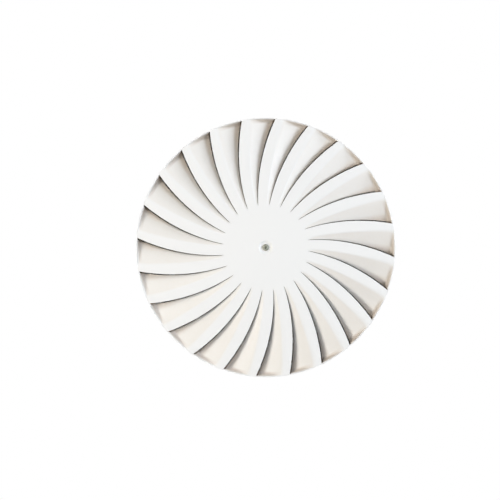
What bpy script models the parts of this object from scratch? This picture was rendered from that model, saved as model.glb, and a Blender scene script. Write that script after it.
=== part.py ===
"""Round ceiling swirl diffuser with its plenum, duct spigot and butterfly damper.

Metres, +Z up. The origin is on the axis, in the plane of the ceiling's underside, so the pressed face
hangs below z = 0 and looks down, and the plenum, spigot and hanger straps stand above it.
The damper's spindle lies along Y; the centre screw runs up the axis into a nut in the crossbar.
"""

import math

import bmesh
import bpy
from mathutils import Matrix, Vector

# Clearance between two pieces that touch on the real object.
GAP = 0.0003

# Pressed face: a flat hub, blades folded back from it, and a rim with a returned flange.
FACE_RADIUS = 0.199
FACE_SHEET = 0.001
FRONT_Z = -0.017
BLADES = 24
BLADE_PITCH = 2 * math.pi / BLADES
BLADE_PHASE = math.radians(4.45)
SLIT_START = 0.0647
SLIT_END = 0.1979
SLIT_TURN = math.radians(21.7)
BLADE_DEPTH = 0.0110
DEPTH_POWER = 0.9
FULL_DEPTH_RADIUS = 0.183
FOLD_AT_HUB = 0.72
FOLD_AT_RIM = 0.17
FOLD_SOFTNESS = 0.12
WALL_REACH = 0.009
WALL_LEAST = 0.0004
WALL_SOFTNESS = 0.9
SLIT_GAP_HUB = 0.0007
SLIT_GAP_RIM = 0.0024
RIM_ROUNDING = 0.0008
FLANGE_Z = -0.003
FLANGE_RADIUS = 0.1905
BLADE_RINGS = (0.0647, 0.087, 0.111, 0.135, 0.157, 0.175, 0.1885, 0.1932, 0.1960, 0.1979)
BLADE_COLUMNS = 4
DIMPLE_RADIUS = 0.0108
DIMPLE_FLOOR = 0.0066
DIMPLE_DEPTH = 0.0022
FACE_SCREW_HOLE = 0.0035

# Plenum: a round shell, flanged out under the ceiling, and a cap whose rim laps over it.
RING_STEPS = 60
SHEET = 0.001
SHELL_RADIUS = 0.183
SHELL_FLANGE = 0.1968
SHELL_TOP = 0.120
SHELL_BEAD_Z = 0.072
BEAD_HEIGHT = 0.0020
BEAD_HALF_WIDTH = 0.0040
CAP_LAP = 0.014
CAP_BOTTOM = SHELL_TOP + GAP
CAP_TOP = CAP_BOTTOM + SHEET
CAP_RIM_INNER = SHELL_RADIUS + 0.0004
CAP_RIM_OUTER = CAP_RIM_INNER + SHEET

# Spigot: the collar that the duct slides over, flanged onto the cap, with a rubber lip seal.
COLLAR_STEPS = 40
COLLAR_RADIUS = 0.079
COLLAR_FLANGE = 0.095
COLLAR_BOTTOM = CAP_TOP + GAP
COLLAR_TOP = 0.212
COLLAR_BEAD_Z = 0.1595
SEAL_INNER = COLLAR_RADIUS + GAP
SEAL_BAND = 0.0012
SEAL_LIP = 0.0036
SEAL_BOTTOM = 0.190
SEAL_HEIGHT = 0.0135

# Baffle: a dished disc hung from the cap on three posts, so that the air spreads round its edge.
BAFFLE_RADIUS = 0.122
BAFFLE_Z = 0.046
BAFFLE_RIM = 0.006
POST_ANGLES = (30, 150, 270)
POST_CIRCLE = 0.106
POST_RADIUS = 0.0045
POST_STUD = 0.0025
POST_HOLE = 0.0029
POST_NUT = 0.0060
POST_NUT_HEIGHT = 0.0045
POST_STEPS = 12

# Crossbar across the plenum's mouth, with the nut that the centre screw turns in.
BAR_Z = 0.012
BAR_SHEET = 0.0015
BAR_WIDTH = 0.030
BAR_HEIGHT = 0.014
BAR_TAB_FACE = 0.1807
BAR_TAB_HEIGHT = 0.022
BAR_RIVET_Z = 0.025
NUT_BODY = 0.0045
NUT_FLANGE = 0.0065
NUT_TOP = 0.026
NUT_BORE = 0.0033
SCREW_RADIUS = 0.0030
SCREW_HEAD = 0.0052
SCREW_HEAD_HEIGHT = 0.0024
SCREW_TIP = 0.028
WASHER_RADIUS = 0.0080
WASHER_SHEET = 0.0015

# Damper: a round blade on a spindle, worked by a lever that a wing nut locks on a quadrant.
DAMPER_Z = 0.137
BLADE_RADIUS = 0.0745
BLADE_SHEET = 0.0012
SPINDLE_RADIUS = 0.0040
SPINDLE_BACK = -0.0865
SPINDLE_FRONT = 0.1070
CLAMP_Y = 0.045
CLAMP_WIDTH = 0.016
CLAMP_SHEET = 0.0012
CLAMP_FOOT = 0.0140
CLAMP_RIVET_Z = 0.0105
BUSH_BODY = 0.0060
BUSH_FLANGE = 0.0090
BUSH_INNER_Y = 0.0770
BUSH_FLANGE_Y = COLLAR_RADIUS + GAP
BUSH_FLANGE_SHEET = 0.0018
CLIP_RADIUS = 0.0075
CLIP_SHEET = 0.001
QUADRANT_Y = 0.0965
QUADRANT_SHEET = 0.0015
QUADRANT_RADIUS = 0.047
QUADRANT_SLOT = 0.038
QUADRANT_SLOT_HALF = 0.0034
QUADRANT_SIDE = 0.014
QUADRANT_FOOT = 0.018
QUADRANT_BEND = 0.0005
LEVER_Y = 0.0985
LEVER_SHEET = 0.0020
LEVER_LENGTH = 0.064
LEVER_HALF_WIDTH = 0.0065
LEVER_BOSS = 0.0090
LEVER_NUT_RADIUS = 0.0075
LEVER_NUT_HEIGHT = 0.005
BOLT_RADIUS = 0.0030
BOLT_HEAD = 0.0062
BOLT_END_Y = 0.1125
WING_HUB = 0.0052
WING_SPAN = 0.0125
WING_Y = LEVER_Y + LEVER_SHEET + 0.0004
WING_HEIGHT = 0.0055
WING_RISE = 0.0060
WING_SHEET = 0.0022

# Hanger straps and blind rivets.
HANGER_ANGLES = (90, 210, 330)
HANGER_FACE = CAP_RIM_OUTER + 0.0006
HANGER_SHEET = 0.0015
HANGER_HALF_WIDTH = 0.013
HANGER_BOTTOM = 0.1075
HANGER_TOP = 0.152
HANGER_STEP = 0.0025
HANGER_STEP_Z = 0.1222
HANGER_HOLE = 0.0045
HANGER_RIVET_Z = 0.1135
HANGER_RIVET_SIDE = 0.0075
COLLAR_RIVET_ANGLES = (45, 135, 225, 315)
COLLAR_RIVET_RADIUS = 0.0885
RIVET_HOLE = 0.0020
RIVET_SHANK = 0.0016
RIVET_HEAD = 0.0031
RIVET_STEPS = 6
CURVE_SLACK = 0.0005

WHITE_PAINT = ((0.88, 0.88, 0.86, 1), 0.38, 0.0)
GALVANISED = ((0.62, 0.64, 0.65, 1), 0.42, 0.9)
ZINC_PLATE = ((0.70, 0.70, 0.66, 1), 0.30, 1.0)
BLACK_RUBBER = ((0.03, 0.03, 0.03, 1), 0.75, 0.0)
GREY_FOAM = ((0.20, 0.20, 0.21, 1), 0.95, 0.0)
NYLON = ((0.80, 0.79, 0.74, 1), 0.50, 0.0)

FACE_ALONG_X = Matrix.Rotation(math.radians(90), 4, "Y")
FACE_ALONG_Y = Matrix.Rotation(math.radians(90), 4, "X")
SEEN_FROM_X = Matrix(((0, 0, 1), (1, 0, 0), (0, 1, 0))).to_4x4()
AXIS_ALONG_Y = Matrix.Rotation(math.radians(-90), 4, "X")
AXIS_AGAINST_Y = Matrix.Rotation(math.radians(90), 4, "X")


# ---------------------------------------------------------------- tools

def clear_scene():
    for obj in list(bpy.data.objects):
        bpy.data.objects.remove(obj, do_unlink=True)


def new_collection(name):
    collection = bpy.data.collections.new(name)
    bpy.context.scene.collection.children.link(collection)
    return collection


def finish_material(name, finish):
    colour, roughness, metallic = finish
    material = bpy.data.materials.new(name)
    material.use_nodes = True
    shader = material.node_tree.nodes["Principled BSDF"]
    shader.inputs["Base Color"].default_value = colour
    shader.inputs["Roughness"].default_value = roughness
    shader.inputs["Metallic"].default_value = metallic
    return material


def add_object(name, data, finish, matrix=None):
    obj = bpy.data.objects.new(name, data)
    PARTS.objects.link(obj)
    data.materials.append(finish_material(name, finish))
    if matrix is not None:
        obj.matrix_world = matrix
    return obj


def as_cutter(obj):
    """Puts obj away as a hidden tool for a Boolean."""
    for collection in obj.users_collection:
        collection.objects.unlink(obj)
    CUTTERS.objects.link(obj)
    obj.hide_render = True
    obj.display_type = "WIRE"
    return obj


def add_cutter(name, data):
    return as_cutter(bpy.data.objects.new(name, data))


def boolean(obj, tool, operation="DIFFERENCE"):
    modifier = obj.modifiers.new(operation.title(), "BOOLEAN")
    modifier.operation = operation
    modifier.object = tool


def smooth(mesh, degrees=35):
    mesh.shade_smooth()
    mesh.set_sharp_from_angle(angle=math.radians(degrees))


def profile_mesh(name, points, closed):
    """A line of (radius, height) points in the XZ plane, for a Screw modifier."""
    mesh = bpy.data.meshes.new(name)
    edges = [(i, i + 1) for i in range(len(points) - 1)]
    if closed:
        edges.append((len(points) - 1, 0))
    mesh.from_pydata([(r, 0, z) for r, z in points], edges, [])
    return mesh


def turned(name, points, finish, steps, closed=True, matrix=None):
    """A turned piece. A closed profile makes a ring; an open one starts and ends on the axis."""
    obj = add_object(name, profile_mesh(name, points, closed), finish, matrix)
    screw = obj.modifiers.new("Screw", "SCREW")
    screw.steps = screw.render_steps = steps
    screw.use_merge_vertices = True
    screw.merge_threshold = 0.00001
    screw.use_smooth_shade = False
    return obj


def arc(radius, start, end, steps, centre=(0, 0)):
    """Points on an arc, angles in degrees, both ends included."""
    points = []
    for i in range(steps + 1):
        angle = math.radians(start + (end - start) * i / steps)
        points.append((centre[0] + radius * math.cos(angle), centre[1] + radius * math.sin(angle)))
    return points


def circle(radius, steps, centre=(0, 0), start=0):
    return arc(radius, start, start + 360, steps, centre)[:-1]


def outline_curve(name, loops, thickness):
    """A flat plate: 2D outlines, the first the edge and the others holes, extruded about local z = 0."""
    curve = bpy.data.curves.new(name, "CURVE")
    curve.dimensions = "2D"
    curve.fill_mode = "BOTH"
    curve.extrude = thickness / 2
    for loop in loops:
        spline = curve.splines.new("POLY")
        spline.points.add(len(loop) - 1)
        for point, (x, y) in zip(spline.points, loop):
            point.co = (x, y, 0, 1)
        spline.use_cyclic_u = True
    return curve


def plate(name, loops, thickness, finish, matrix=None):
    return add_object(name, outline_curve(name, loops, thickness), finish, matrix)


def meshed(obj):
    """The curve object as a welded mesh object, so that it takes Booleans."""
    graph = bpy.context.evaluated_depsgraph_get()
    mesh = bpy.data.meshes.new_from_object(obj.evaluated_get(graph))
    name, world = obj.name, obj.matrix_world.copy()
    material = obj.data.materials[0]
    bpy.data.objects.remove(obj, do_unlink=True)
    body = bmesh.new()
    body.from_mesh(mesh)
    bmesh.ops.remove_doubles(body, verts=body.verts, dist=0.000001)
    body.to_mesh(mesh)
    body.free()
    made = bpy.data.objects.new(name, mesh)
    PARTS.objects.link(made)
    if not mesh.materials:
        mesh.materials.append(material)
    made.matrix_world = world
    return made


def prism_mesh(name, radius, length, steps, places):
    """One mesh of equal closed prisms; each place is a matrix whose local Z is the prism's axis."""
    body = bmesh.new()
    for place in places:
        bmesh.ops.create_cone(
            body, cap_ends=True, segments=steps, radius1=radius, radius2=radius, depth=length, matrix=place
        )
    mesh = bpy.data.meshes.new(name)
    body.to_mesh(mesh)
    body.free()
    return mesh


def box_mesh(name, low, high):
    body = bmesh.new()
    low, high = Vector(low), Vector(high)
    size = Matrix.Diagonal((*(high - low), 1))
    bmesh.ops.create_cube(body, size=1, matrix=Matrix.Translation((low + high) / 2) @ size)
    mesh = bpy.data.meshes.new(name)
    body.to_mesh(mesh)
    body.free()
    return mesh


def radial(angle, radius, height, side=0.0):
    """A place on the plenum's side: local X is tangential, Y is up and Z points outwards."""
    out = Vector((math.cos(angle), math.sin(angle), 0))
    along = Vector((-math.sin(angle), math.cos(angle), 0))
    place = Matrix((along, (0, 0, 1), out)).transposed().to_4x4()
    place.translation = out * radius + along * side + Vector((0, 0, height))
    return place


def rivet(name, place, grip, finish=ZINC_PLATE):
    """A blind rivet: its dome rests on the outer sheet and its bulb grips behind the inner one."""
    points = [
        (0, 0.0016),
        (0.0020, 0.0012),
        (RIVET_HEAD, GAP),
        (RIVET_SHANK, GAP),
        (RIVET_SHANK, -grip - GAP),
        (0.0024, -grip - 0.0005),
        (0.0017, -grip - 0.0024),
        (0, -grip - 0.0026),
    ]
    return turned(name, points, finish, RIVET_STEPS, closed=False, matrix=place)


def rivet_holes(obj, places, reach=0.012):
    """Cuts a rivet hole through obj at each place, and gives the cutter."""
    tool = add_cutter(obj.name + "_holes", prism_mesh("holes", RIVET_HOLE, reach, RIVET_STEPS, places))
    boolean(obj, tool)
    return tool


# ---------------------------------------------------------------- pressed face

def share(value, start, end):
    """How far value is from start to end, kept between 0 and 1."""
    return min(1.0, max(0.0, (value - start) / (end - start)))


def slit_angle(radius):
    """Angle of a slit at this radius: it turns steadily from the hub to the rim."""
    return BLADE_PHASE - SLIT_TURN * (1 - radius / FACE_RADIUS)


def fold_column(radius):
    """Where the fold line crosses a blade, from 0 at its front edge to 1 at its deep edge."""
    return FOLD_AT_HUB + (FOLD_AT_RIM - FOLD_AT_HUB) * share(radius, SLIT_START, SLIT_END)


def bend(along, softness):
    """From 0 to 1, starting level: a soft bend over the first part, then straight."""
    if along < softness:
        rise = along * along / (2 * softness)
    else:
        rise = along - softness / 2
    return rise / (1 - softness / 2)


def blade_point(radius, column):
    """(angle within the pitch, height) on the blade's front; column runs from 0 to BLADE_COLUMNS."""
    fold = fold_column(radius)
    past = max(0.0, (column - 1) / (BLADE_COLUMNS - 1))
    across = min(column, 1) * fold + past * (1 - fold)
    gap = SLIT_GAP_HUB + (SLIT_GAP_RIM - SLIT_GAP_HUB) * share(radius, SLIT_START, SLIT_END)
    across -= past * gap / (radius * BLADE_PITCH)
    depth = BLADE_DEPTH * share(radius, SLIT_START, FULL_DEPTH_RADIUS) ** DEPTH_POWER
    wall_width = WALL_LEAST + (WALL_REACH - WALL_LEAST) * past
    wall = bend(share(radius, SLIT_END - wall_width, SLIT_END), WALL_SOFTNESS)
    height = FRONT_Z + depth * bend(past, FOLD_SOFTNESS) * (1 - wall)
    return across * BLADE_PITCH, height


def face_sheet(body):
    """The face's front surface: hub, blades with a slit between each two, rim and returned flange."""
    def vertex(radius, angle, height):
        return body.verts.new((radius * math.cos(angle), radius * math.sin(angle), height))

    def ring(radius, height, count, start):
        step = 2 * math.pi / count
        return [vertex(radius, start + step * i, height) for i in range(count)]

    def join(inner, outer):
        count = len(inner)
        for i in range(count):
            j = (i + 1) % count
            body.faces.new((inner[i], inner[j], outer[j], outer[i]))

    start = slit_angle(SLIT_START)
    hole = ring(FACE_SCREW_HOLE, FRONT_Z + DIMPLE_DEPTH, BLADES, start)
    floor = ring(DIMPLE_FLOOR, FRONT_Z + DIMPLE_DEPTH, BLADES, start)
    lip = ring(DIMPLE_RADIUS, FRONT_Z, BLADES, start)
    join(hole, floor)
    join(floor, lip)

    def blade_row(blade, radius):
        """The row's vertices; at both ends of the slit the last one belongs to the next blade."""
        columns = BLADE_COLUMNS if radius in (SLIT_START, SLIT_END) else BLADE_COLUMNS + 1
        row = []
        for column in range(columns):
            across, height = blade_point(radius, column)
            flat = radius in (SLIT_START, SLIT_END)
            angle = slit_angle(radius) + blade * BLADE_PITCH + across
            row.append(vertex(radius, angle, FRONT_Z if flat else height))
        return row

    rows = [[blade_row(blade, radius) for radius in BLADE_RINGS] for blade in range(BLADES)]
    for blade in range(BLADES):
        following = rows[(blade + 1) % BLADES]
        for end in (0, -1):
            rows[blade][end].append(following[end][0])
    for blade in range(BLADES):
        body.faces.new([lip[blade], lip[(blade + 1) % BLADES], *reversed(rows[blade][0])])
        for near, far in zip(rows[blade], rows[blade][1:]):
            for column in range(BLADE_COLUMNS):
                body.faces.new((near[column], near[column + 1], far[column + 1], far[column]))

    edge = [v for blade in range(BLADES) for v in rows[blade][-1][:-1]]
    angles = [math.atan2(v.co.y, v.co.x) for v in edge]
    for radius, height in (
        (FACE_RADIUS - RIM_ROUNDING, FRONT_Z),
        (FACE_RADIUS, FRONT_Z + RIM_ROUNDING),
        (FACE_RADIUS, FLANGE_Z),
        (FLANGE_RADIUS, FLANGE_Z),
    ):
        outer = [vertex(radius, angle, height) for angle in angles]
        join(edge, outer)
        edge = outer


def make_face():
    body = bmesh.new()
    face_sheet(body)
    bmesh.ops.recalc_face_normals(body, faces=body.faces)
    mesh = bpy.data.meshes.new("face_plate")
    body.to_mesh(mesh)
    body.free()
    if mesh.polygons[0].normal.z > 0:
        mesh.flip_normals()
    smooth(mesh)
    face = add_object("face_plate", mesh, WHITE_PAINT)
    solidify = face.modifiers.new("Solidify", "SOLIDIFY")
    solidify.thickness = FACE_SHEET
    solidify.offset = -1
    solidify.use_even_offset = True

    outer, inner = FACE_RADIUS - 0.0022, FLANGE_RADIUS + GAP
    top, bottom = -SHEET - GAP, FLANGE_Z + GAP
    points = [(outer, top), (outer, bottom), (inner, bottom), (inner, top)]
    turned("face_gasket", points, GREY_FOAM, COLLAR_STEPS)

    back = FRONT_Z + DIMPLE_DEPTH + FACE_SHEET + GAP
    bore = SCREW_RADIUS + 0.0004
    points = [
        (WASHER_RADIUS, back + WASHER_SHEET),
        (WASHER_RADIUS, back),
        (bore, back),
        (bore, back + WASHER_SHEET),
    ]
    turned("captive_washer", points, NYLON, 16)


def make_centre_screw():
    """Pan head with a cross recess, seated in the hub's dimple."""
    seat = FRONT_Z + DIMPLE_DEPTH - GAP
    crown = seat - SCREW_HEAD_HEIGHT
    points = [
        (0, SCREW_TIP),
        (SCREW_RADIUS - 0.0008, SCREW_TIP),
        (SCREW_RADIUS, SCREW_TIP - 0.0012),
        (SCREW_RADIUS, seat),
        (SCREW_HEAD, seat),
        (SCREW_HEAD, seat - 0.0012),
        (SCREW_HEAD - 0.0012, crown + 0.0002),
        (0, crown),
    ]
    screw = turned("centre_screw", points, ZINC_PLATE, 16, closed=False)
    slot_half, arm, depth = 0.0005, 0.0027, 0.0015
    bottom = crown - 0.001
    for name, x, y in (("recess_along", arm, slot_half), ("recess_across", slot_half, arm)):
        cutter = add_cutter(name, box_mesh(name, (-x, -y, bottom), (x, y, crown + depth)))
        boolean(screw, cutter)


# ---------------------------------------------------------------- plenum and spigot

def hanger_rivets():
    """Angle number, side number and place of each rivet that holds a strap, the cap and the shell."""
    return [
        (i, j, radial(math.radians(angle), HANGER_FACE + HANGER_SHEET, HANGER_RIVET_Z, side))
        for i, angle in enumerate(HANGER_ANGLES, 1)
        for j, side in enumerate((-HANGER_RIVET_SIDE, HANGER_RIVET_SIDE), 1)
    ]


def bar_rivets():
    return [radial(angle, SHELL_RADIUS, BAR_RIVET_Z) for angle in (0, math.pi)]


def collar_rivets():
    places = []
    for angle in COLLAR_RIVET_ANGLES:
        turn = Matrix.Rotation(math.radians(angle), 4, "Z")
        places.append(turn @ Matrix.Translation((COLLAR_RIVET_RADIUS, 0, COLLAR_BOTTOM + SHEET)))
    return places


def foot_rivets():
    y = QUADRANT_Y + 0.010
    return [Matrix.Translation((x, y, CAP_TOP + GAP + QUADRANT_SHEET)) for x in (-0.006, 0.036)]


def make_plenum():
    outer, inner = SHELL_RADIUS, SHELL_RADIUS - SHEET
    high, low = SHELL_BEAD_Z + BEAD_HALF_WIDTH, SHELL_BEAD_Z - BEAD_HALF_WIDTH
    points = [
        (outer, SHELL_TOP),
        (outer, high),
        (outer + BEAD_HEIGHT, SHELL_BEAD_Z),
        (outer, low),
        (outer, 0),
        (SHELL_FLANGE, 0),
        (SHELL_FLANGE, -SHEET),
        (inner, -SHEET),
        (inner, low),
        (inner + BEAD_HEIGHT, SHELL_BEAD_Z),
        (inner, high),
        (inner, SHELL_TOP),
    ]
    shell = turned("plenum_shell", points, GALVANISED, RING_STEPS)
    strap_places = [place for _, _, place in hanger_rivets()]
    rivet_holes(shell, strap_places + bar_rivets())

    hole = COLLAR_RADIUS - SHEET
    points = [
        (CAP_RIM_OUTER, CAP_TOP),
        (CAP_RIM_OUTER, CAP_TOP - CAP_LAP),
        (CAP_RIM_INNER, CAP_TOP - CAP_LAP),
        (CAP_RIM_INNER, CAP_BOTTOM),
        (hole, CAP_BOTTOM),
        (hole, CAP_TOP),
    ]
    cap = turned("plenum_cap", points, GALVANISED, RING_STEPS)
    rivet_holes(cap, strap_places + collar_rivets() + foot_rivets())
    post_holes(cap)

    strap_grip = HANGER_FACE + HANGER_SHEET - (SHELL_RADIUS - SHEET) + CURVE_SLACK
    for i, j, place in hanger_rivets():
        rivet(f"hanger_rivet_{i}{j}", place, strap_grip)
    for i, place in enumerate(bar_rivets(), 1):
        rivet(f"crossbar_rivet_{i}", place, SHELL_RADIUS - (BAR_TAB_FACE - BAR_SHEET))
    for i, place in enumerate(collar_rivets(), 1):
        rivet(f"collar_rivet_{i}", place, 2 * SHEET + GAP)
    for i, place in enumerate(foot_rivets(), 1):
        rivet(f"quadrant_rivet_{i}", place, QUADRANT_SHEET + SHEET + GAP)


def make_hangers():
    """Straps riveted on the cap's rim, each stepped outwards above it so that its hanging face is clear."""
    face, outer = HANGER_FACE, HANGER_FACE + HANGER_SHEET
    high = HANGER_STEP_Z + HANGER_STEP
    mitre = HANGER_SHEET * math.tan(math.radians(22.5))
    spare = 0.002
    bent = [
        (face, HANGER_BOTTOM - spare),
        (face, HANGER_STEP_Z),
        (face + HANGER_STEP, high),
        (face + HANGER_STEP, HANGER_TOP + spare),
        (outer + HANGER_STEP, HANGER_TOP + spare),
        (outer + HANGER_STEP, high - mitre),
        (outer, HANGER_STEP_Z - mitre),
        (outer, HANGER_BOTTOM - spare),
    ]
    top = HANGER_TOP - HANGER_HALF_WIDTH
    edge = [(-HANGER_HALF_WIDTH, HANGER_BOTTOM), (HANGER_HALF_WIDTH, HANGER_BOTTOM)]
    edge += arc(HANGER_HALF_WIDTH, 0, 180, 8, (0, top))
    holes = [circle(HANGER_HOLE, 12, (0, top))]
    for side in (-HANGER_RIVET_SIDE, HANGER_RIVET_SIDE):
        holes.append(circle(RIVET_HOLE, RIVET_STEPS, (side, HANGER_RIVET_Z)))
    for i, angle in enumerate(HANGER_ANGLES, 1):
        turn = Matrix.Rotation(math.radians(angle), 4, "Z")
        width = 2 * (HANGER_HALF_WIDTH + spare)
        strap = meshed(plate(f"hanger_strap_{i}", [bent], width, GALVANISED, turn @ FACE_ALONG_Y))
        place = radial(math.radians(angle), HANGER_FACE, 0)
        blank = meshed(plate(f"strap_blank_{i}", [edge, *holes], 4 * HANGER_STEP, GALVANISED, place))
        boolean(strap, as_cutter(blank), "INTERSECT")


def make_spigot():
    outer, inner = COLLAR_RADIUS, COLLAR_RADIUS - SHEET
    high, low = COLLAR_BEAD_Z + 0.003, COLLAR_BEAD_Z - 0.003
    points = [
        (outer, COLLAR_TOP),
        (outer, high),
        (outer + BEAD_HEIGHT, COLLAR_BEAD_Z),
        (outer, low),
        (outer, COLLAR_BOTTOM + SHEET),
        (COLLAR_FLANGE, COLLAR_BOTTOM + SHEET),
        (COLLAR_FLANGE, COLLAR_BOTTOM),
        (inner, COLLAR_BOTTOM),
        (inner, low),
        (inner + BEAD_HEIGHT, COLLAR_BEAD_Z),
        (inner, high),
        (inner, COLLAR_TOP),
    ]
    collar = turned("spigot_collar", points, GALVANISED, COLLAR_STEPS)
    rivet_holes(collar, collar_rivets())
    through = Matrix.Translation((0, 0, DAMPER_Z)) @ AXIS_ALONG_Y
    bores = prism_mesh("bores", BUSH_BODY + GAP, 0.2, 16, [through])
    boolean(collar, add_cutter("bush_bores", bores))

    band = SEAL_INNER + SEAL_BAND
    top = SEAL_BOTTOM + SEAL_HEIGHT
    points = [(band, top)]
    for root in (top - 0.0030, top - 0.0085):
        points += [(band, root), (band + SEAL_LIP, root - 0.0030), (band, root - 0.0016)]
    points += [(band, SEAL_BOTTOM), (SEAL_INNER, SEAL_BOTTOM), (SEAL_INNER, top)]
    turned("spigot_lip_seal", points, BLACK_RUBBER, COLLAR_STEPS)


def post_places(height=0.0):
    places = []
    for angle in POST_ANGLES:
        turn = Matrix.Rotation(math.radians(angle), 4, "Z")
        places.append(turn @ Matrix.Translation((POST_CIRCLE, 0, height)))
    return places


def post_holes(obj):
    """Cuts the holes for the posts' studs through a level sheet."""
    mesh = prism_mesh("post_holes", POST_HOLE, 0.3, POST_STEPS, post_places())
    boolean(obj, add_cutter(obj.name + "_post_holes", mesh))


def make_baffle():
    """The baffle, its posts with a stud at each end, and the nuts above the cap and below the baffle."""
    edge = BAFFLE_RADIUS - 0.005
    points = [
        (BAFFLE_RADIUS, BAFFLE_Z + BAFFLE_RIM),
        (edge, BAFFLE_Z),
        (0, BAFFLE_Z),
        (0, BAFFLE_Z + SHEET),
        (edge - 0.0006, BAFFLE_Z + SHEET),
        (BAFFLE_RADIUS - 0.0013, BAFFLE_Z + BAFFLE_RIM),
    ]
    baffle = turned("baffle_plate", points, GALVANISED, RING_STEPS)
    post_holes(baffle)

    low = BAFFLE_Z + SHEET + GAP
    high = CAP_BOTTOM - GAP
    below = BAFFLE_Z - GAP - POST_NUT_HEIGHT - 0.0015
    above = CAP_TOP + GAP + POST_NUT_HEIGHT + 0.0015
    points = [
        (0, above),
        (POST_STUD, above),
        (POST_STUD, high),
        (POST_RADIUS, high),
        (POST_RADIUS, low),
        (POST_STUD, low),
        (POST_STUD, below),
        (0, below),
    ]
    loops = [circle(POST_NUT, 6), circle(POST_HOLE, POST_STEPS)]
    for i, place in enumerate(post_places(), 1):
        turned(f"baffle_post_{i}", points, ZINC_PLATE, POST_STEPS, False, place)
    under = BAFFLE_Z - GAP - POST_NUT_HEIGHT / 2
    over = CAP_TOP + GAP + POST_NUT_HEIGHT / 2
    for side, height in (("lower", under), ("upper", over)):
        for i, place in enumerate(post_places(height), 1):
            plate(f"{side}_post_nut_{i}", loops, POST_NUT_HEIGHT, ZINC_PLATE, place)


def make_crossbar():
    half, wall = BAR_WIDTH / 2, BAR_SHEET
    section = [
        (-half, 0), (half, 0), (half, BAR_HEIGHT), (half - wall, BAR_HEIGHT),
        (half - wall, wall), (wall - half, wall), (wall - half, BAR_HEIGHT), (-half, BAR_HEIGHT),
    ]
    reach = BAR_TAB_FACE - BAR_SHEET / 2
    place = Matrix.Translation((0, 0, BAR_Z)) @ SEEN_FROM_X
    bar = meshed(plate("crossbar", [section], 2 * reach, GALVANISED, place))
    for side in (-1, 1):
        ends = sorted((side * BAR_TAB_FACE, side * (BAR_TAB_FACE - BAR_SHEET)))
        low, high = (ends[0], -half, BAR_Z), (ends[1], half, BAR_Z + BAR_TAB_HEIGHT)
        tab = box_mesh("tab", low, high)
        tab.transform(place.inverted())
        tool = add_cutter(f"crossbar_tab_{side}", tab)
        tool.matrix_world = place
        boolean(bar, tool, "UNION")
    rivet_holes(bar, bar_rivets())
    centre = Matrix.Translation((0, 0, BAR_Z))
    boolean(bar, add_cutter("nut_hole", prism_mesh("nut_hole", NUT_BODY + 0.0004, 0.01, 16, [centre])))

    flange_top = BAR_Z - GAP
    points = [
        (NUT_BODY, NUT_TOP),
        (NUT_BODY, flange_top),
        (NUT_FLANGE, flange_top),
        (NUT_FLANGE, flange_top - 0.001),
        (NUT_BORE, flange_top - 0.001),
        (NUT_BORE, NUT_TOP),
    ]
    turned("crossbar_rivet_nut", points, ZINC_PLATE, 16)


# ---------------------------------------------------------------- damper

def damper_place(x=0.0, y=0.0, z=0.0, turn=Matrix()):
    """A place given from the spindle's axis."""
    return Matrix.Translation((x, y, z)) @ turn


def clamp_places(x):
    """Clamp number, rivet number and place of each rivet that holds the blade to a clamp."""
    return [
        (i, j, damper_place(x, y, z, FACE_ALONG_X))
        for i, y in enumerate((-CLAMP_Y, CLAMP_Y), 1)
        for j, z in enumerate((-CLAMP_RIVET_Z, CLAMP_RIVET_Z), 1)
    ]


def make_blade(axis):
    """The round blade, riveted through two saddle clamps that grip the spindle."""
    near = SPINDLE_RADIUS + GAP
    far = near + BLADE_SHEET
    holes = [
        circle(RIVET_HOLE, RIVET_STEPS, (y, z))
        for y in (-CLAMP_Y, CLAMP_Y)
        for z in (-CLAMP_RIVET_Z, CLAMP_RIVET_Z)
    ]
    place = damper_place((near + far) / 2, turn=SEEN_FROM_X)
    blade = plate("damper_blade", [circle(BLADE_RADIUS, 48), *holes], BLADE_SHEET, GALVANISED, place)
    blade.parent = axis
    for i, j, place in clamp_places(far):
        rivet(f"clamp_rivet_{i}{j}", place, BLADE_SHEET + GAP + CLAMP_SHEET).parent = axis

    inside = SPINDLE_RADIUS + GAP
    outside = inside + CLAMP_SHEET
    foot = SPINDLE_RADIUS - CLAMP_SHEET
    outer_end = math.degrees(math.acos(foot / outside))
    inner_end = math.degrees(math.acos((SPINDLE_RADIUS - 0.0002) / inside))
    saddle = [(SPINDLE_RADIUS, -CLAMP_FOOT), (foot, -CLAMP_FOOT)]
    saddle += arc(outside, -outer_end, outer_end - 360, 10)
    saddle += [(foot, CLAMP_FOOT), (SPINDLE_RADIUS, CLAMP_FOOT)]
    saddle += arc(inside, inner_end - 360, -inner_end, 10)
    for i, y in enumerate((-CLAMP_Y, CLAMP_Y), 1):
        place = damper_place(y=y, turn=FACE_ALONG_Y)
        clamp = meshed(plate(f"blade_clamp_{i}", [saddle], CLAMP_WIDTH, GALVANISED, place))
        places = [place for number, _, place in clamp_places(SPINDLE_RADIUS) if number == i]
        rivet_holes(clamp, places).parent = axis
        clamp.parent = axis


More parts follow.
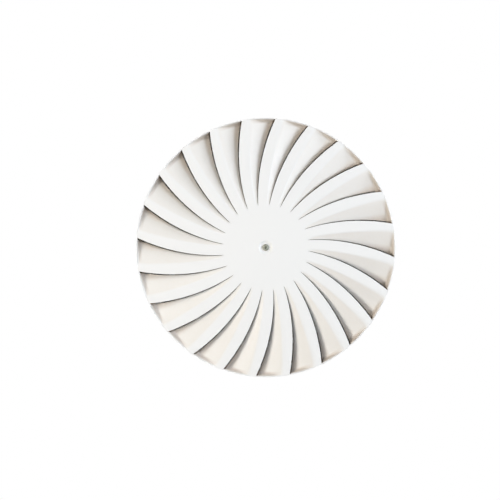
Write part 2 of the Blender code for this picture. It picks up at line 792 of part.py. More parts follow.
def make_spindle(axis):
    """The spindle, with the clip that holds it in at the back."""
    chamfer = 0.0007
    points = [
        (0, SPINDLE_FRONT),
        (SPINDLE_RADIUS - chamfer, SPINDLE_FRONT),
        (SPINDLE_RADIUS, SPINDLE_FRONT - chamfer),
        (SPINDLE_RADIUS, SPINDLE_BACK + chamfer),
        (SPINDLE_RADIUS - chamfer, SPINDLE_BACK),
        (0, SPINDLE_BACK),
    ]
    spindle = turned("damper_spindle", points, ZINC_PLATE, 16, False, damper_place(turn=AXIS_ALONG_Y))
    spindle.parent = axis

    near = BUSH_FLANGE_Y + BUSH_FLANGE_SHEET + GAP
    far = near + CLIP_SHEET
    bore = SPINDLE_RADIUS + GAP
    points = [(CLIP_RADIUS, far), (CLIP_RADIUS, near), (bore, near), (bore, far)]
    clip = turned("spindle_clip", points, ZINC_PLATE, 16, matrix=damper_place(turn=AXIS_AGAINST_Y))
    clip.parent = axis


def make_lever(axis):
    """The lever and its nut on the spindle's end, and the bolt that rides in the quadrant's slot."""
    bar = arc(LEVER_BOSS, 150, 390, 12) + arc(LEVER_HALF_WIDTH, 0, 180, 8, (0, LEVER_LENGTH))
    bores = [circle(SPINDLE_RADIUS + GAP, 12), circle(BOLT_RADIUS + GAP, 12, (0, QUADRANT_SLOT))]
    place = damper_place(y=LEVER_Y + LEVER_SHEET / 2, turn=FACE_ALONG_Y)
    plate("damper_lever", [bar, *bores], LEVER_SHEET, ZINC_PLATE, place).parent = axis

    place = damper_place(y=LEVER_Y + LEVER_SHEET + GAP + LEVER_NUT_HEIGHT / 2, turn=FACE_ALONG_Y)
    loops = [circle(LEVER_NUT_RADIUS, 6), circle(SPINDLE_RADIUS + GAP, 12)]
    plate("lever_nut", loops, LEVER_NUT_HEIGHT, ZINC_PLATE, place).parent = axis

    seat = QUADRANT_Y - GAP
    chamfer = 0.0006
    points = [
        (0, BOLT_END_Y),
        (BOLT_RADIUS - chamfer, BOLT_END_Y),
        (BOLT_RADIUS, BOLT_END_Y - chamfer),
        (BOLT_RADIUS, seat),
        (BOLT_HEAD, seat),
        (BOLT_HEAD, seat - 0.0010),
        (0.0035, seat - 0.0028),
        (0, seat - 0.0032),
    ]
    place = damper_place(z=QUADRANT_SLOT, turn=AXIS_ALONG_Y)
    turned("locking_bolt", points, ZINC_PLATE, 12, False, place).parent = axis


def make_wing_nut(axis):
    """Turns on the locking bolt, with two wings that lean away from the lever."""
    place = damper_place(y=WING_Y + WING_HEIGHT / 2, z=QUADRANT_SLOT, turn=FACE_ALONG_Y)
    loops = [circle(WING_HUB, 16), circle(BOLT_RADIUS + GAP, 12)]
    nut = meshed(plate("wing_nut", loops, WING_HEIGHT, ZINC_PLATE, place))
    root, tip = WING_HUB - 0.0008, WING_HEIGHT / 2 + WING_RISE
    for side in (-1, 1):
        wing = [
            (side * root, -WING_HEIGHT / 2),
            (side * root, WING_HEIGHT / 2),
            (side * (WING_SPAN - 0.002), tip),
            (side * WING_SPAN, tip - 0.001),
            (side * WING_SPAN, tip - 0.0045),
        ]
        # A wing is drawn flat, then stood up so that its height runs along the bolt.
        tool = as_cutter(meshed(plate(f"wing_{side}", [wing], WING_SHEET, ZINC_PLATE)))
        tool.data.transform(Matrix.Rotation(math.radians(-90), 4, "X"))
        tool.matrix_world = place
        tool.parent = axis
        boolean(nut, tool, "UNION")
    nut.parent = axis


def make_quadrant():
    """An upright plate with a curved slot for the locking bolt, on a foot riveted to the cap."""
    bottom = CAP_TOP + GAP + QUADRANT_BEND - DAMPER_Z
    edge = [(-QUADRANT_SIDE, bottom), (QUADRANT_RADIUS, bottom)]
    edge += arc(QUADRANT_RADIUS, 0, 90, 12)
    edge += [(-0.009, QUADRANT_RADIUS), (-QUADRANT_SIDE, QUADRANT_RADIUS - 0.006)]
    slot = arc(QUADRANT_SLOT + QUADRANT_SLOT_HALF, 0, 90, 12)
    slot += arc(QUADRANT_SLOT_HALF, 90, 270, 4, (0, QUADRANT_SLOT))[1:-1]
    slot += arc(QUADRANT_SLOT - QUADRANT_SLOT_HALF, 90, 0, 12)
    slot += arc(QUADRANT_SLOT_HALF, 180, 360, 4, (QUADRANT_SLOT, 0))[1:-1]
    place = Matrix.Translation((0, QUADRANT_Y + QUADRANT_SHEET / 2, DAMPER_Z)) @ FACE_ALONG_Y
    bore = circle(SPINDLE_RADIUS + 0.0006, 12)
    quadrant = meshed(plate("quadrant_bracket", [edge, slot, bore], QUADRANT_SHEET, GALVANISED, place))
    low = (0.001 - QUADRANT_SIDE, QUADRANT_Y + QUADRANT_BEND, CAP_TOP + GAP)
    high = (QUADRANT_RADIUS - 0.001, QUADRANT_Y + QUADRANT_FOOT, CAP_TOP + GAP + QUADRANT_SHEET)
    boolean(quadrant, add_cutter("quadrant_foot", box_mesh("quadrant_foot", low, high)), "UNION")
    rivet_holes(quadrant, foot_rivets())


def make_bushes():
    """Flanged nylon bushes that the spindle turns in, pressed into the collar from outside."""
    bore = SPINDLE_RADIUS + GAP
    flange_end = BUSH_FLANGE_Y + BUSH_FLANGE_SHEET
    points = [
        (BUSH_FLANGE, flange_end), (BUSH_FLANGE, BUSH_FLANGE_Y), (BUSH_BODY, BUSH_FLANGE_Y),
        (BUSH_BODY, BUSH_INNER_Y), (bore, BUSH_INNER_Y), (bore, flange_end),
    ]
    at_axis = Matrix.Translation((0, 0, DAMPER_Z))
    turned("spindle_bush_front", points, NYLON, 16, matrix=at_axis @ AXIS_ALONG_Y)
    turned("spindle_bush_back", points, NYLON, 16, matrix=at_axis @ AXIS_AGAINST_Y)


clear_scene()
PARTS = new_collection("ceiling_swirl_diffuser")
CUTTERS = new_collection("cutters")
make_face()
make_centre_screw()
make_plenum()
make_hangers()
make_spigot()
make_baffle()
make_crossbar()
make_bushes()
make_quadrant()

damper_axis = bpy.data.objects.new("damper_axis", None)
PARTS.objects.link(damper_axis)
damper_axis.location = (0, 0, DAMPER_Z)
make_blade(damper_axis)
make_spindle(damper_axis)
make_lever(damper_axis)
make_wing_nut(damper_axis)
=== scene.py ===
"""Looks of the ceiling swirl diffuser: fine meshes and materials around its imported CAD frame."""
import math

import bmesh
import bpy
from mathutils import Matrix, Vector

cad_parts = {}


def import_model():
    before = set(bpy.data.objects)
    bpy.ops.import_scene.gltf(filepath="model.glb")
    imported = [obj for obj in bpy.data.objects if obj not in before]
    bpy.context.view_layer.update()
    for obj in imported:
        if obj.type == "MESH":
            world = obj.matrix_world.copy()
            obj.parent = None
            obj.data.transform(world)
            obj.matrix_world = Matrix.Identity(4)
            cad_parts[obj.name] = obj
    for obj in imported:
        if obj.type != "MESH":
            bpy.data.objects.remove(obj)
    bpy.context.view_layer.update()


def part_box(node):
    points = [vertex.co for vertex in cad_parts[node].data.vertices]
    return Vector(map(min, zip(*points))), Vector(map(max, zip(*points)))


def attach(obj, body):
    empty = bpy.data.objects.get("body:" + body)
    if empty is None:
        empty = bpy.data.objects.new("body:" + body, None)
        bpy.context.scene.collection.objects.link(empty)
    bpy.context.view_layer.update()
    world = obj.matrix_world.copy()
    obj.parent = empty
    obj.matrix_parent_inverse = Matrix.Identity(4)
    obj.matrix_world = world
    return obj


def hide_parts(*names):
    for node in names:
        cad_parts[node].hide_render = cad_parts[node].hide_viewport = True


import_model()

# Turns from a piece's own Z axis to the axis that it lies along.
ALONG_X = Matrix.Rotation(math.radians(90), 4, "Y")
ALONG_Y = Matrix.Rotation(math.radians(-90), 4, "X")
AGAINST_Y = Matrix.Rotation(math.radians(90), 4, "X")
SEEN_FROM_X = Matrix(((0, 0, 1), (1, 0, 0), (0, 1, 0))).to_4x4()

FACE_LOW, FACE_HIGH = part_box("face_plate")
FACE_RADIUS = (FACE_HIGH.x - FACE_LOW.x) / 2
FRONT_Z = FACE_LOW.z
SHEET = 0.001
SHELL_RADIUS = 0.183
LID_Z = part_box("plenum_cap")[1].z
FINE = 192


def about_z(degrees):
    return Matrix.Rotation(math.radians(degrees), 4, "Z")


def polar(radius, angle, height):
    """A point given by its distance and angle (in radians) about the Z axis."""
    return radius * math.cos(angle), radius * math.sin(angle), height


def placed(name, data):
    """A new object in the scene."""
    obj = bpy.data.objects.new(name, data)
    bpy.context.scene.collection.objects.link(obj)
    return obj


def set_inputs(node, **values):
    """Sets inputs of a shader node; an underscore stands for a space in an input's name."""
    for key, value in values.items():
        node.inputs[key.replace("_", " ")].default_value = value


# ---------------------------------------------------------------- materials

class Look:
    """A procedural material, in metres of the object's own space."""

    def __init__(self, name, **constants):
        self.material = bpy.data.materials.new(name)
        self.material.use_nodes = True
        self.tree = self.material.node_tree
        self.shader = self.tree.nodes["Principled BSDF"]
        set_inputs(self.shader, **constants)
        self.place = self.tree.nodes.new("ShaderNodeTexCoord").outputs["Object"]

    def node(self, kind, links=None, **values):
        made = self.tree.nodes.new(kind)
        for key, value in values.items():
            setattr(made, key, value)
        for key, socket in (links or {}).items():
            self.tree.links.new(socket, made.inputs[key])
        return made

    def stretched(self, z):
        """The place with its Z scaled."""
        made = self.node("ShaderNodeMapping", {"Vector": self.place})
        set_inputs(made, Scale=(1, 1, z))
        return made.outputs["Vector"]

    def noise(self, scale, detail=3.0, roughness=0.5, place=None):
        made = self.node("ShaderNodeTexNoise", {"Vector": place or self.place})
        set_inputs(made, Scale=scale, Detail=detail, Roughness=roughness)
        return made.outputs["Fac"]

    def cells(self, scale, output="Distance"):
        made = self.node("ShaderNodeTexVoronoi", {"Vector": self.place})
        set_inputs(made, Scale=scale)
        return made.outputs[output]

    def ranged(self, fac, low, high, start=0.3, end=0.7):
        """fac between start and end, carried to low and high."""
        made = self.node("ShaderNodeMapRange", {"Value": fac})
        set_inputs(made, From_Min=start, From_Max=end, To_Min=low, To_Max=high)
        return made.outputs["Result"]

    def mixed(self, fac, first, second):
        """From first to second as fac goes from 0 to 1; either may be a colour or a socket."""
        made = self.node("ShaderNodeMix", {"Factor": fac}, data_type="RGBA")
        for key, value in (("A", first), ("B", second)):
            socket = [s for s in made.inputs if s.name == key and s.type == "RGBA"][0]
            if isinstance(value, tuple):
                socket.default_value = (*value, 1)
            else:
                self.tree.links.new(value, socket)
        return [s for s in made.outputs if s.type == "RGBA"][0]

    def height(self):
        return self.node("ShaderNodeSeparateXYZ", {"Vector": self.place}).outputs["Z"]

    def from_axis(self):
        """Distance from the middle axis of the whole object."""
        flat = {"Vector": self.stretched(0)}
        return self.node("ShaderNodeVectorMath", flat, operation="LENGTH").outputs["Value"]

    def product(self, first, second):
        made = self.node("ShaderNodeMath", operation="MULTIPLY")
        for index, socket in enumerate((first, second)):
            self.tree.links.new(socket, made.inputs[index])
        return made.outputs["Value"]

    def shade(self, colour, roughness):
        self.tree.links.new(colour, self.shader.inputs["Base Color"])
        self.tree.links.new(roughness, self.shader.inputs["Roughness"])

    def relief(self, *heights):
        """Each height is (socket, depth in metres, strength)."""
        normal = None
        for socket, depth, strength in heights:
            made = self.node("ShaderNodeBump", {"Height": socket})
            set_inputs(made, Distance=depth, Strength=strength)
            if normal:
                self.tree.links.new(normal, made.inputs["Normal"])
            normal = made.outputs["Normal"]
        self.tree.links.new(normal, self.shader.inputs["Normal"])
        return self.material


# Colours of painted shade, on the face and on the sheet inside the plenum.
SLOPE_SHADE_COLOUR = (0.83, 0.77, 0.70)
SLIT_SHADE_COLOUR = (0.72, 0.54, 0.38)
RIM_SHADE_COLOUR = (0.44, 0.32, 0.22)
INSIDE_SHADE_COLOUR = (0.31, 0.26, 0.21)


def powder_coat():
    """Satin white powder coat with an orange peel.

    Painted shade: pale warm shade on the blades' slopes, deeper shade by the slits, a dark shadow at
    their ends.
    """
    look = Look("white_powder_coat", Specular_IOR_Level=0.5)
    radius, height = look.from_axis(), look.height()

    def risen(most, start, end):
        """From 0 to most, between two heights above the hub's front."""
        return look.ranged(height, 0.0, most, FRONT_Z + start, FRONT_Z + end)

    def near_rim(low, high, start, end):
        """From low to high, between two distances in from the rim."""
        return look.ranged(radius, low, high, FACE_RADIUS - start, FACE_RADIUS - end)

    tone = look.mixed(look.noise(14), (0.892, 0.888, 0.890), (0.912, 0.908, 0.910))
    speck = look.ranged(look.noise(2600, 1.0), 0.0, 0.35, 0.62, 0.80)
    clean = look.mixed(speck, tone, (0.81, 0.81, 0.80))
    within = near_rim(1.0, 0.0, 0.0010, 0.0007)
    slopes = look.product(within, look.ranged(radius, 0.0, 1.0, 0.025, 0.045))
    patchy_shade = look.product(slopes, look.ranged(look.noise(220, 4.0), 0.8, 1.0))
    # Painted shade: a pale warm shade over the blades' slopes, from just behind the hub's front.
    slope_shaded = look.mixed(look.product(patchy_shade, risen(0.5, 0.0001, 0.0009)), clean, SLOPE_SHADE_COLOUR)
    # Painted shade: a deeper warm shade on the deepest part of the slopes, by the slits.
    slit_shaded = look.mixed(look.product(patchy_shade, risen(0.5, 0.0070, 0.0110)), slope_shaded, SLIT_SHADE_COLOUR)
    # Painted shadow: a dark line along the blades' ends, close in from the rim, where they dip.
    rim_shade_mask = look.product(within, near_rim(0.0, 0.9, 0.0085, 0.0020))
    rim_shaded = look.mixed(look.product(rim_shade_mask, risen(1.0, 0.0006, 0.0060)), slit_shaded, RIM_SHADE_COLOUR)
    look.shade(rim_shaded, look.ranged(look.noise(90), 0.36, 0.46))
    peel = look.noise(700, 2.0, 0.4)
    return look.relief((look.noise(160, 2.0), 0.00006, 0.25), (peel, 0.00003, 0.25))


def galvanised(name, shaded_inside):
    """Hot-dip galvanised sheet: a spangle of crystal cells under a thin dull bloom.

    The second argument paints dark shade on the sheet that lies within the drum and under the lid.
    """
    look = Look(name, Metallic=0.92)
    crystals = look.cells(135, "Color")
    level = look.node("ShaderNodeSeparateColor", {"Color": crystals}).outputs["Red"]
    fine = look.noise(420, 4.0, 0.6)
    whole = look.ranged(level, 0.0, 1.0, 0.0, 1.0)
    spangle = look.mixed(whole, (0.57, 0.585, 0.60), (0.71, 0.725, 0.73))
    bloom = look.mixed(look.ranged(look.noise(9, 4.0), 0.0, 0.45), spangle, (0.66, 0.665, 0.66))
    colour = look.mixed(look.ranged(fine, 0.0, 0.22), bloom, (0.44, 0.45, 0.46))
    # Painted shade: sheet within the drum and under the lid is darkened, as it lies in shade.
    if shaded_inside:
        start, end = 0.0008, 0.0002
        inside = look.ranged(look.from_axis(), 1.0, 0.0, SHELL_RADIUS - start, SHELL_RADIUS - end)
        below = look.ranged(look.height(), 1.0, 0.0, LID_Z - start, LID_Z - end)
        patchy_shade = look.ranged(look.noise(130, 4.0), 0.70, 0.95)
        inside_shade = look.product(look.product(inside, below), patchy_shade)
        colour = look.mixed(inside_shade, colour, INSIDE_SHADE_COLOUR)
    look.shade(colour, look.ranged(level, 0.34, 0.48, 0.0, 1.0))
    rolled = look.noise(60, 2.0, place=look.stretched(14))
    return look.relief((level, 0.00004, 0.25), (rolled, 0.00003, 0.3), (fine, 0.00002, 0.3))


def zinc_plate():
    """Bright zinc plate with a thin clear passivation that shifts between blue and straw."""
    look = Look("zinc_plated_steel", Metallic=1.0)
    straw = look.ranged(look.noise(190, 3.0), 0.0, 1.0)
    tint = look.mixed(straw, (0.66, 0.68, 0.70), (0.74, 0.72, 0.64))
    colour = look.mixed(look.ranged(look.noise(1500, 4.0), 0.0, 0.35), tint, (0.46, 0.46, 0.45))
    look.shade(colour, look.ranged(look.noise(800, 3.0), 0.24, 0.42))
    return look.relief((look.noise(2400, 3.0), 0.00002, 0.35))


def dull_zinc():
    """Zinc plate gone matt under an even olive-grey chromate film."""
    look = Look("dull_zinc", Metallic=0.5, Specular_IOR_Level=0.4)
    cloudy = look.ranged(look.noise(260, 4.0), 0.0, 1.0)
    film = look.mixed(cloudy, (0.34, 0.35, 0.29), (0.45, 0.46, 0.40))
    colour = look.mixed(look.ranged(look.noise(1700, 4.0), 0.0, 0.4), film, (0.28, 0.28, 0.24))
    look.shade(colour, look.ranged(look.noise(900, 3.0), 0.48, 0.62))
    return look.relief((look.noise(2400, 3.0), 0.00002, 0.35))


def epdm():
    """Black EPDM with a dull bloom and a fine moulded grain."""
    look = Look("epdm_rubber", Specular_IOR_Level=0.35)
    bloom = look.ranged(look.noise(70, 4.0), 0.0, 1.0)
    colour = look.mixed(bloom, (0.020, 0.020, 0.021), (0.050, 0.049, 0.047))
    look.shade(colour, look.ranged(look.noise(260), 0.55, 0.78))
    return look.relief((look.noise(1700, 3.0), 0.00005, 0.4))


def foam():
    """Closed-cell foam tape: small cut cells over a grey body."""
    look = Look("foam_seal", Specular_IOR_Level=0.2)
    cell = look.cells(900)
    uneven = look.ranged(look.noise(50), 0.0, 1.0)
    body = look.mixed(uneven, (0.15, 0.15, 0.16), (0.22, 0.22, 0.225))
    colour = look.mixed(look.ranged(cell, 1.0, 0.0, 0.05, 0.5), body, (0.085, 0.085, 0.09))
    look.shade(colour, look.ranged(look.noise(300), 0.85, 0.97))
    return look.relief((cell, 0.0003, 0.6))


def nylon():
    """Natural nylon: milky, with faint flow marks."""
    look = Look("nylon", Subsurface_Weight=0.15, Subsurface_Scale=0.002, Specular_IOR_Level=0.45)
    flow = look.noise(120, 3.0, place=look.stretched(5))
    colour = look.mixed(look.ranged(flow, 0.0, 1.0), (0.76, 0.745, 0.68), (0.84, 0.83, 0.78))
    look.shade(colour, look.ranged(look.noise(500), 0.38, 0.55))
    return look.relief((look.noise(900), 0.00003, 0.3))


PAINT = powder_coat()
GALVANISED = galvanised("galvanised_steel", False)
# The sheet inside the plenum carries painted shade.
INSIDE_SHADED = galvanised("inside_shaded_galvanised_steel", True)
ZINC = zinc_plate()
DULL_ZINC = dull_zinc()
RUBBER = epdm()
FOAM = foam()
NYLON = nylon()


# ---------------------------------------------------------------- mesh tools

def piece(name, mesh, material, body, *nodes):
    """Puts a finished mesh, already in the row frame, in place of its CAD nodes."""
    obj = placed(name, mesh)
    mesh.materials.clear()
    mesh.materials.append(material)
    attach(obj, body)
    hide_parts(*nodes)
    return obj


def smooth(mesh, degrees=32):
    mesh.shade_smooth()
    mesh.set_sharp_from_angle(angle=math.radians(degrees))
    return mesh


def from_bmesh(name, body, turn=None, degrees=32):
    bmesh.ops.recalc_face_normals(body, faces=body.faces)
    mesh = bpy.data.meshes.new(name)
    body.to_mesh(mesh)
    body.free()
    if turn is not None:
        mesh.transform(turn)
    return smooth(mesh, degrees)


def evaluated(name, data, modifiers=()):
    """The mesh that data gives once it has gone through the modifiers."""
    obj = placed(name, data)
    for kind, settings in modifiers:
        modifier = obj.modifiers.new(kind.title(), kind)
        for key, value in settings.items():
            setattr(modifier, key, value)
    graph = bpy.context.evaluated_depsgraph_get()
    mesh = bpy.data.meshes.new_from_object(obj.evaluated_get(graph))
    bpy.data.objects.remove(obj, do_unlink=True)
    return mesh


def rounded_edges(mesh, width, degrees):
    """The mesh with its edges bevelled and its flat faces still shaded flat."""
    bevel = {
        "width": width,
        "segments": 2,
        "limit_method": "ANGLE",
        "angle_limit": math.radians(degrees),
    }
    smooth(mesh, 60)
    return evaluated(mesh.name, mesh, [("BEVEL", bevel), ("WEIGHTED_NORMAL", {"keep_sharp": True})])


def arc(radius, start, end, steps, centre=(0, 0)):
    points = []
    for i in range(steps + 1):
        angle = math.radians(start + (end - start) * i / steps)
        points.append((centre[0] + radius * math.cos(angle), centre[1] + radius * math.sin(angle)))
    return points


def circle(radius, steps, centre=(0, 0)):
    return arc(radius, 0, 360, steps, centre)[:-1]


def filleted(points, radius, closed=True, steps=4):
    """The line with each corner rounded; a point may carry its own radius as a third number."""
    line = []
    for i, point in enumerate(points):
        corner = Vector(point[:2])
        if not closed and i in (0, len(points) - 1):
            line.append(tuple(corner))
            continue
        before = Vector(points[i - 1][:2]) - corner
        after = Vector(points[(i + 1) % len(points)][:2]) - corner
        wanted = point[2] if len(point) > 2 else radius
        half = before.angle(after) / 2
        cut = min(wanted / max(math.tan(half), 0.05), 0.49 * before.length, 0.49 * after.length)
        if wanted <= 0 or math.pi / 2 - half < 0.02:
            line.append(tuple(corner))
            continue
        first = corner + before.normalized() * cut
        last = corner + after.normalized() * cut
        for k in range(steps + 1):
            t = k / steps
            spot = first * (1 - t) ** 2 + corner * 2 * t * (1 - t) + last * t * t
            line.append(tuple(spot))
    return line


def sheet_outline(line, thickness=SHEET):
    """Closed outline of a bent sheet whose middle follows the line, with rounded ends."""
    points = [Vector(p) for p in line]
    half = thickness / 2
    left, right = [], []
    for i, point in enumerate(points):
        into = (point - points[i - 1]).normalized() if i else (points[1] - point).normalized()
        out = (points[i + 1] - point).normalized() if i < len(points) - 1 else into
        along = (into + out).normalized()
        reach = half / max(0.5, along.dot(into))
        across = Vector((-along.y, along.x))
        left.append(point + across * reach)
        right.append(point - across * reach)
    corners = [(*p, 0) for p in left[:-1]] + [(*left[-1], half * 0.9), (*right[-1], half * 0.9)]
    corners += [(*p, 0) for p in reversed(right[1:-1])] + [(*right[0], half * 0.9)]
    corners[0] = (*left[0], half * 0.9)
    return filleted(corners, 0, steps=3)


def lathe(name, profile, steps, turn=None, closed=True, swell=None, degrees=32):
    """Turns (radius, height) points about Z; swell(radius, height, angle) may change a radius."""
    body = bmesh.new()
    rings = []
    for radius, height in profile:
        if radius < 1e-7:
            rings.append([body.verts.new((0, 0, height))])
            continue
        ring = []
        for i in range(steps):
            angle = 2 * math.pi * i / steps
            r = swell(radius, height, angle) if swell else radius
            ring.append(body.verts.new(polar(r, angle, height)))
        rings.append(ring)
    pairs = list(zip(rings, rings[1:]))
    if closed:
        pairs.append((rings[-1], rings[0]))
    for near, far in pairs:
        for i in range(steps):
            j = (i + 1) % steps
            corners = near[i % len(near)], near[j % len(near)], far[j % len(far)], far[i % len(far)]
            body.faces.new(dict.fromkeys(corners))
    return from_bmesh(name, body, turn, degrees)


def flat_piece(name, loops, thickness, edge, turn=None):
    """A flat plate with rounded edges: 2D outlines filled, extruded and bevelled."""
    curve = bpy.data.curves.new(name, "CURVE")
    curve.dimensions = "2D"
    curve.fill_mode = "BOTH"
    curve.extrude = thickness / 2 - edge
    curve.bevel_depth = edge
    curve.bevel_resolution = 1
    curve.offset = -edge
    for loop in loops:
        spline = curve.splines.new("POLY")
        spline.points.add(len(loop) - 1)
        for point, (x, y) in zip(spline.points, loop):
            point.co = (x, y, 0, 1)
        spline.use_cyclic_u = True
    mesh = evaluated(name, curve)
    body = bmesh.new()
    body.from_mesh(mesh)
    bmesh.ops.remove_doubles(body, verts=body.verts, dist=0.000002)
    return from_bmesh(name, body, turn, 25)


def joined(name, *meshes):
    body = bmesh.new()
    for mesh in meshes:
        body.from_mesh(mesh)
    mesh = bpy.data.meshes.new(name)
    body.to_mesh(mesh)
    body.free()
    return mesh


def centre_of(node):
    low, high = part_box(node)
    return (low + high) / 2


# ---------------------------------------------------------------- pressed face

BLADES = 24
PITCH = 2 * math.pi / BLADES
SLIT_PHASE = math.radians(4.45)
SLIT_TURN = math.radians(21.7)
SLIT_START = 0.325 * FACE_RADIUS
SLIT_END = FACE_RADIUS - 0.0011
FULL_DEPTH = 0.92 * FACE_RADIUS
DEPTH_POWER = 0.9
BLADE_DEPTH = 0.0110
FOLD_AT_HUB = 0.72
FOLD_AT_RIM = 0.17
FOLD_SOFTNESS = 0.12
WALL_REACH = 0.009
WALL_LEAST = 0.0004
WALL_SOFTNESS = 0.9
SLIT_GAP_HUB = 0.0007
SLIT_GAP_RIM = 0.0024
FLANGE_Z = -0.003
FLANGE_RADIUS = 0.1905
BLADE_ROWS = 26
WALL_ROWS = 7
FLAT_COLUMNS = 3
SLOPE_COLUMNS = 9
DIMPLE_EDGE = 0.0130
DIMPLE_RADIUS = 0.0108
DIMPLE_FLOOR = 0.0066
DIMPLE_DEPTH = 0.0022
FACE_HOLE = 0.0035


def share(value, start, end):
    return min(1.0, max(0.0, (value - start) / (end - start)))


def bend(along, softness):
    """From 0 to 1, starting level: a soft bend over the first part, then straight."""
    if along < softness:
        rise = along * along / (2 * softness)
    else:
        rise = along - softness / 2
    return rise / (1 - softness / 2)


def blade_spot(blade, row, column):
    """A point of the pressed face.

    Rows run from the hub to the rim, and columns from a blade's front edge to its deep edge.
    """
    past = max(0.0, (column - FLAT_COLUMNS) / SLOPE_COLUMNS)
    wall_start = SLIT_END - WALL_LEAST - (WALL_REACH - WALL_LEAST) * past
    if row <= BLADE_ROWS:
        radius = SLIT_START + (wall_start - SLIT_START) * row / BLADE_ROWS
    else:
        radius = wall_start + (SLIT_END - wall_start) * (row - BLADE_ROWS) / WALL_ROWS
    along = share(radius, SLIT_START, SLIT_END)
    fold = FOLD_AT_HUB + (FOLD_AT_RIM - FOLD_AT_HUB) * along
    across = min(column / FLAT_COLUMNS, 1) * fold + past * (1 - fold)
    gap = SLIT_GAP_HUB + (SLIT_GAP_RIM - SLIT_GAP_HUB) * along
    across -= past * gap / (radius * PITCH)
    depth = BLADE_DEPTH * share(radius, SLIT_START, FULL_DEPTH) ** DEPTH_POWER
    wall = bend(share(radius, wall_start, SLIT_END), WALL_SOFTNESS)
    height = FRONT_Z + depth * bend(past, FOLD_SOFTNESS) * (1 - wall)
    angle = SLIT_PHASE - SLIT_TURN * (1 - radius / FACE_RADIUS) + (blade + across) * PITCH
    return polar(radius, angle, height)


def pressed_face():
    body = bmesh.new()
    rows, columns = BLADE_ROWS + WALL_ROWS, FLAT_COLUMNS + SLOPE_COLUMNS
    grid = []
    for blade in range(BLADES):
        lines = []
        for row in range(rows + 1):
            end = row in (0, rows)
            count = columns if end else columns + 1
            spots = [blade_spot(blade, row, column) for column in range(count)]
            lines.append([body.verts.new(spot) for spot in spots])
        grid.append(lines)
    for blade in range(BLADES):
        following = grid[(blade + 1) % BLADES]
        grid[blade][0].append(following[0][0])
        grid[blade][-1].append(following[-1][0])
        for near, far in zip(grid[blade], grid[blade][1:]):
            for column in range(columns):
                body.faces.new((near[column], near[column + 1], far[column + 1], far[column]))

    def rings(edge, profile):
        """Carries the face on from an edge, one ring of points for each (radius, height)."""
        ways = [math.atan2(v.co.y, v.co.x) for v in edge]
        for radius, height in profile:
            ring = [body.verts.new(polar(radius, way, height)) for way in ways]
            for i in range(len(edge)):
                j = (i + 1) % len(edge)
                body.faces.new((edge[i], edge[j], ring[j], ring[i]))
            edge = ring

    inner = [v for lines in grid for v in lines[0][:-1]]
    outer = [v for lines in grid for v in lines[-1][:-1]]
    floor = FRONT_Z + DIMPLE_DEPTH
    hub = [(radius, FRONT_Z) for radius in (0.060, 0.045, 0.028, 0.016)]
    dimple = [
        (DIMPLE_EDGE, FRONT_Z),
        (DIMPLE_RADIUS, FRONT_Z),
        (DIMPLE_FLOOR, floor),
        (FACE_HOLE, floor),
    ]
    rings(inner, hub + filleted(dimple, 0.0015, False))
    rim = [
        (SLIT_END, FRONT_Z),
        (FACE_RADIUS, FRONT_Z, 0.0008),
        (FACE_RADIUS, FLANGE_Z, 0.0012),
        (FLANGE_RADIUS, FLANGE_Z),
    ]
    rings(outer, filleted(rim, 0, False, 5)[1:])
    bmesh.ops.recalc_face_normals(body, faces=body.faces)
    mesh = bpy.data.meshes.new("pressed_face")
    body.to_mesh(mesh)
    body.free()
    if mesh.polygons[0].normal.z > 0:
        mesh.flip_normals()
    mesh.shade_smooth()
    solid = {"thickness": SHEET, "offset": -1, "use_even_offset": True}
    mesh = evaluated("pressed_face", mesh, [("SOLIDIFY", solid)])
    return rounded_edges(mesh, 0.00018, 60)


piece("pressed_face", pressed_face(), PAINT, "face", "face_plate")


# ---------------------------------------------------------------- threads, nuts and rivets

def threaded(name, radius, low, high, pitch, turn=None, steps=24):
    """A solid screw thread along Z with chamfered ends."""
    depth = 0.55 * pitch
    rows = round(6 * (high - low) / pitch)
    heights = [low + (high - low) * i / rows for i in range(rows + 1)]

    def swell(r, height, angle):
        wave = abs(2 * ((height / pitch - angle / (2 * math.pi)) % 1) - 1)
        into = min(height - low, high - height) / pitch
        return min(r - depth * wave, r - depth + into * pitch)

    profile = [(0, low), *((radius, height) for height in heights), (0, high)]
    return lathe(name, profile, steps, turn, closed=False, swell=swell)


def hexagon_nut(name, corner, height, bore, turn):
    """A chamfered hexagon nut standing on local z = 0."""
    flat = corner * math.cos(math.radians(30))
    rise = 0.4 * (corner - flat)

    def swell(r, _, angle):
        across = angle % math.radians(60) - math.radians(30)
        return min(r, flat / math.cos(across))

    profile = [
        (bore, 0.0005),
        (bore + 0.0005, 0),
        (flat, 0),
        (corner, rise),
        (corner, height - rise),
        (flat, height),
        (bore + 0.0005, height),
        (bore, height - 0.0005),
    ]
    return lathe(name, profile, 48, turn, swell=swell, degrees=24)


def rivet(node, place, grip, body="housing"):
    """A blind rivet: a domed head round the broken mandrel, and the bulb behind the sheets.

    grip is the depth from the seat of the head to the bulb.
    """
    head = [
        (0, 0.0011),
        (0.0008, 0.0010),
        (0.0010, 0.0016, 0.0002),
        (0.0020, 0.0013, 0.0006),
        (0.0031, 0.0004, 0.0003),
        (0.0030, 0.0001),
        (0.0016, 0.0001),
    ]
    bulb = [
        (0.0016, -grip - 0.0002),
        (0.0026, -grip - 0.0006, 0.0005),
        (0.0024, -grip - 0.0018, 0.0006),
        (0.0010, -grip - 0.0025, 0.0003),
        (0, -grip - 0.0025),
    ]
    profile = filleted(head, 0, False, 3) + filleted(bulb, 0, False, 3)
    mesh = lathe(node, profile, 24, place, closed=False)
    piece(f"visible_{node}", mesh, ZINC, body, node)


# ---------------------------------------------------------------- gasket, washer and centre screw

def ring_of(node):
    """The node's outer radius about the plenum's axis, and its lowest and highest z."""
    low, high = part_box(node)
    return (high.x - low.x) / 2, low.z, high.z


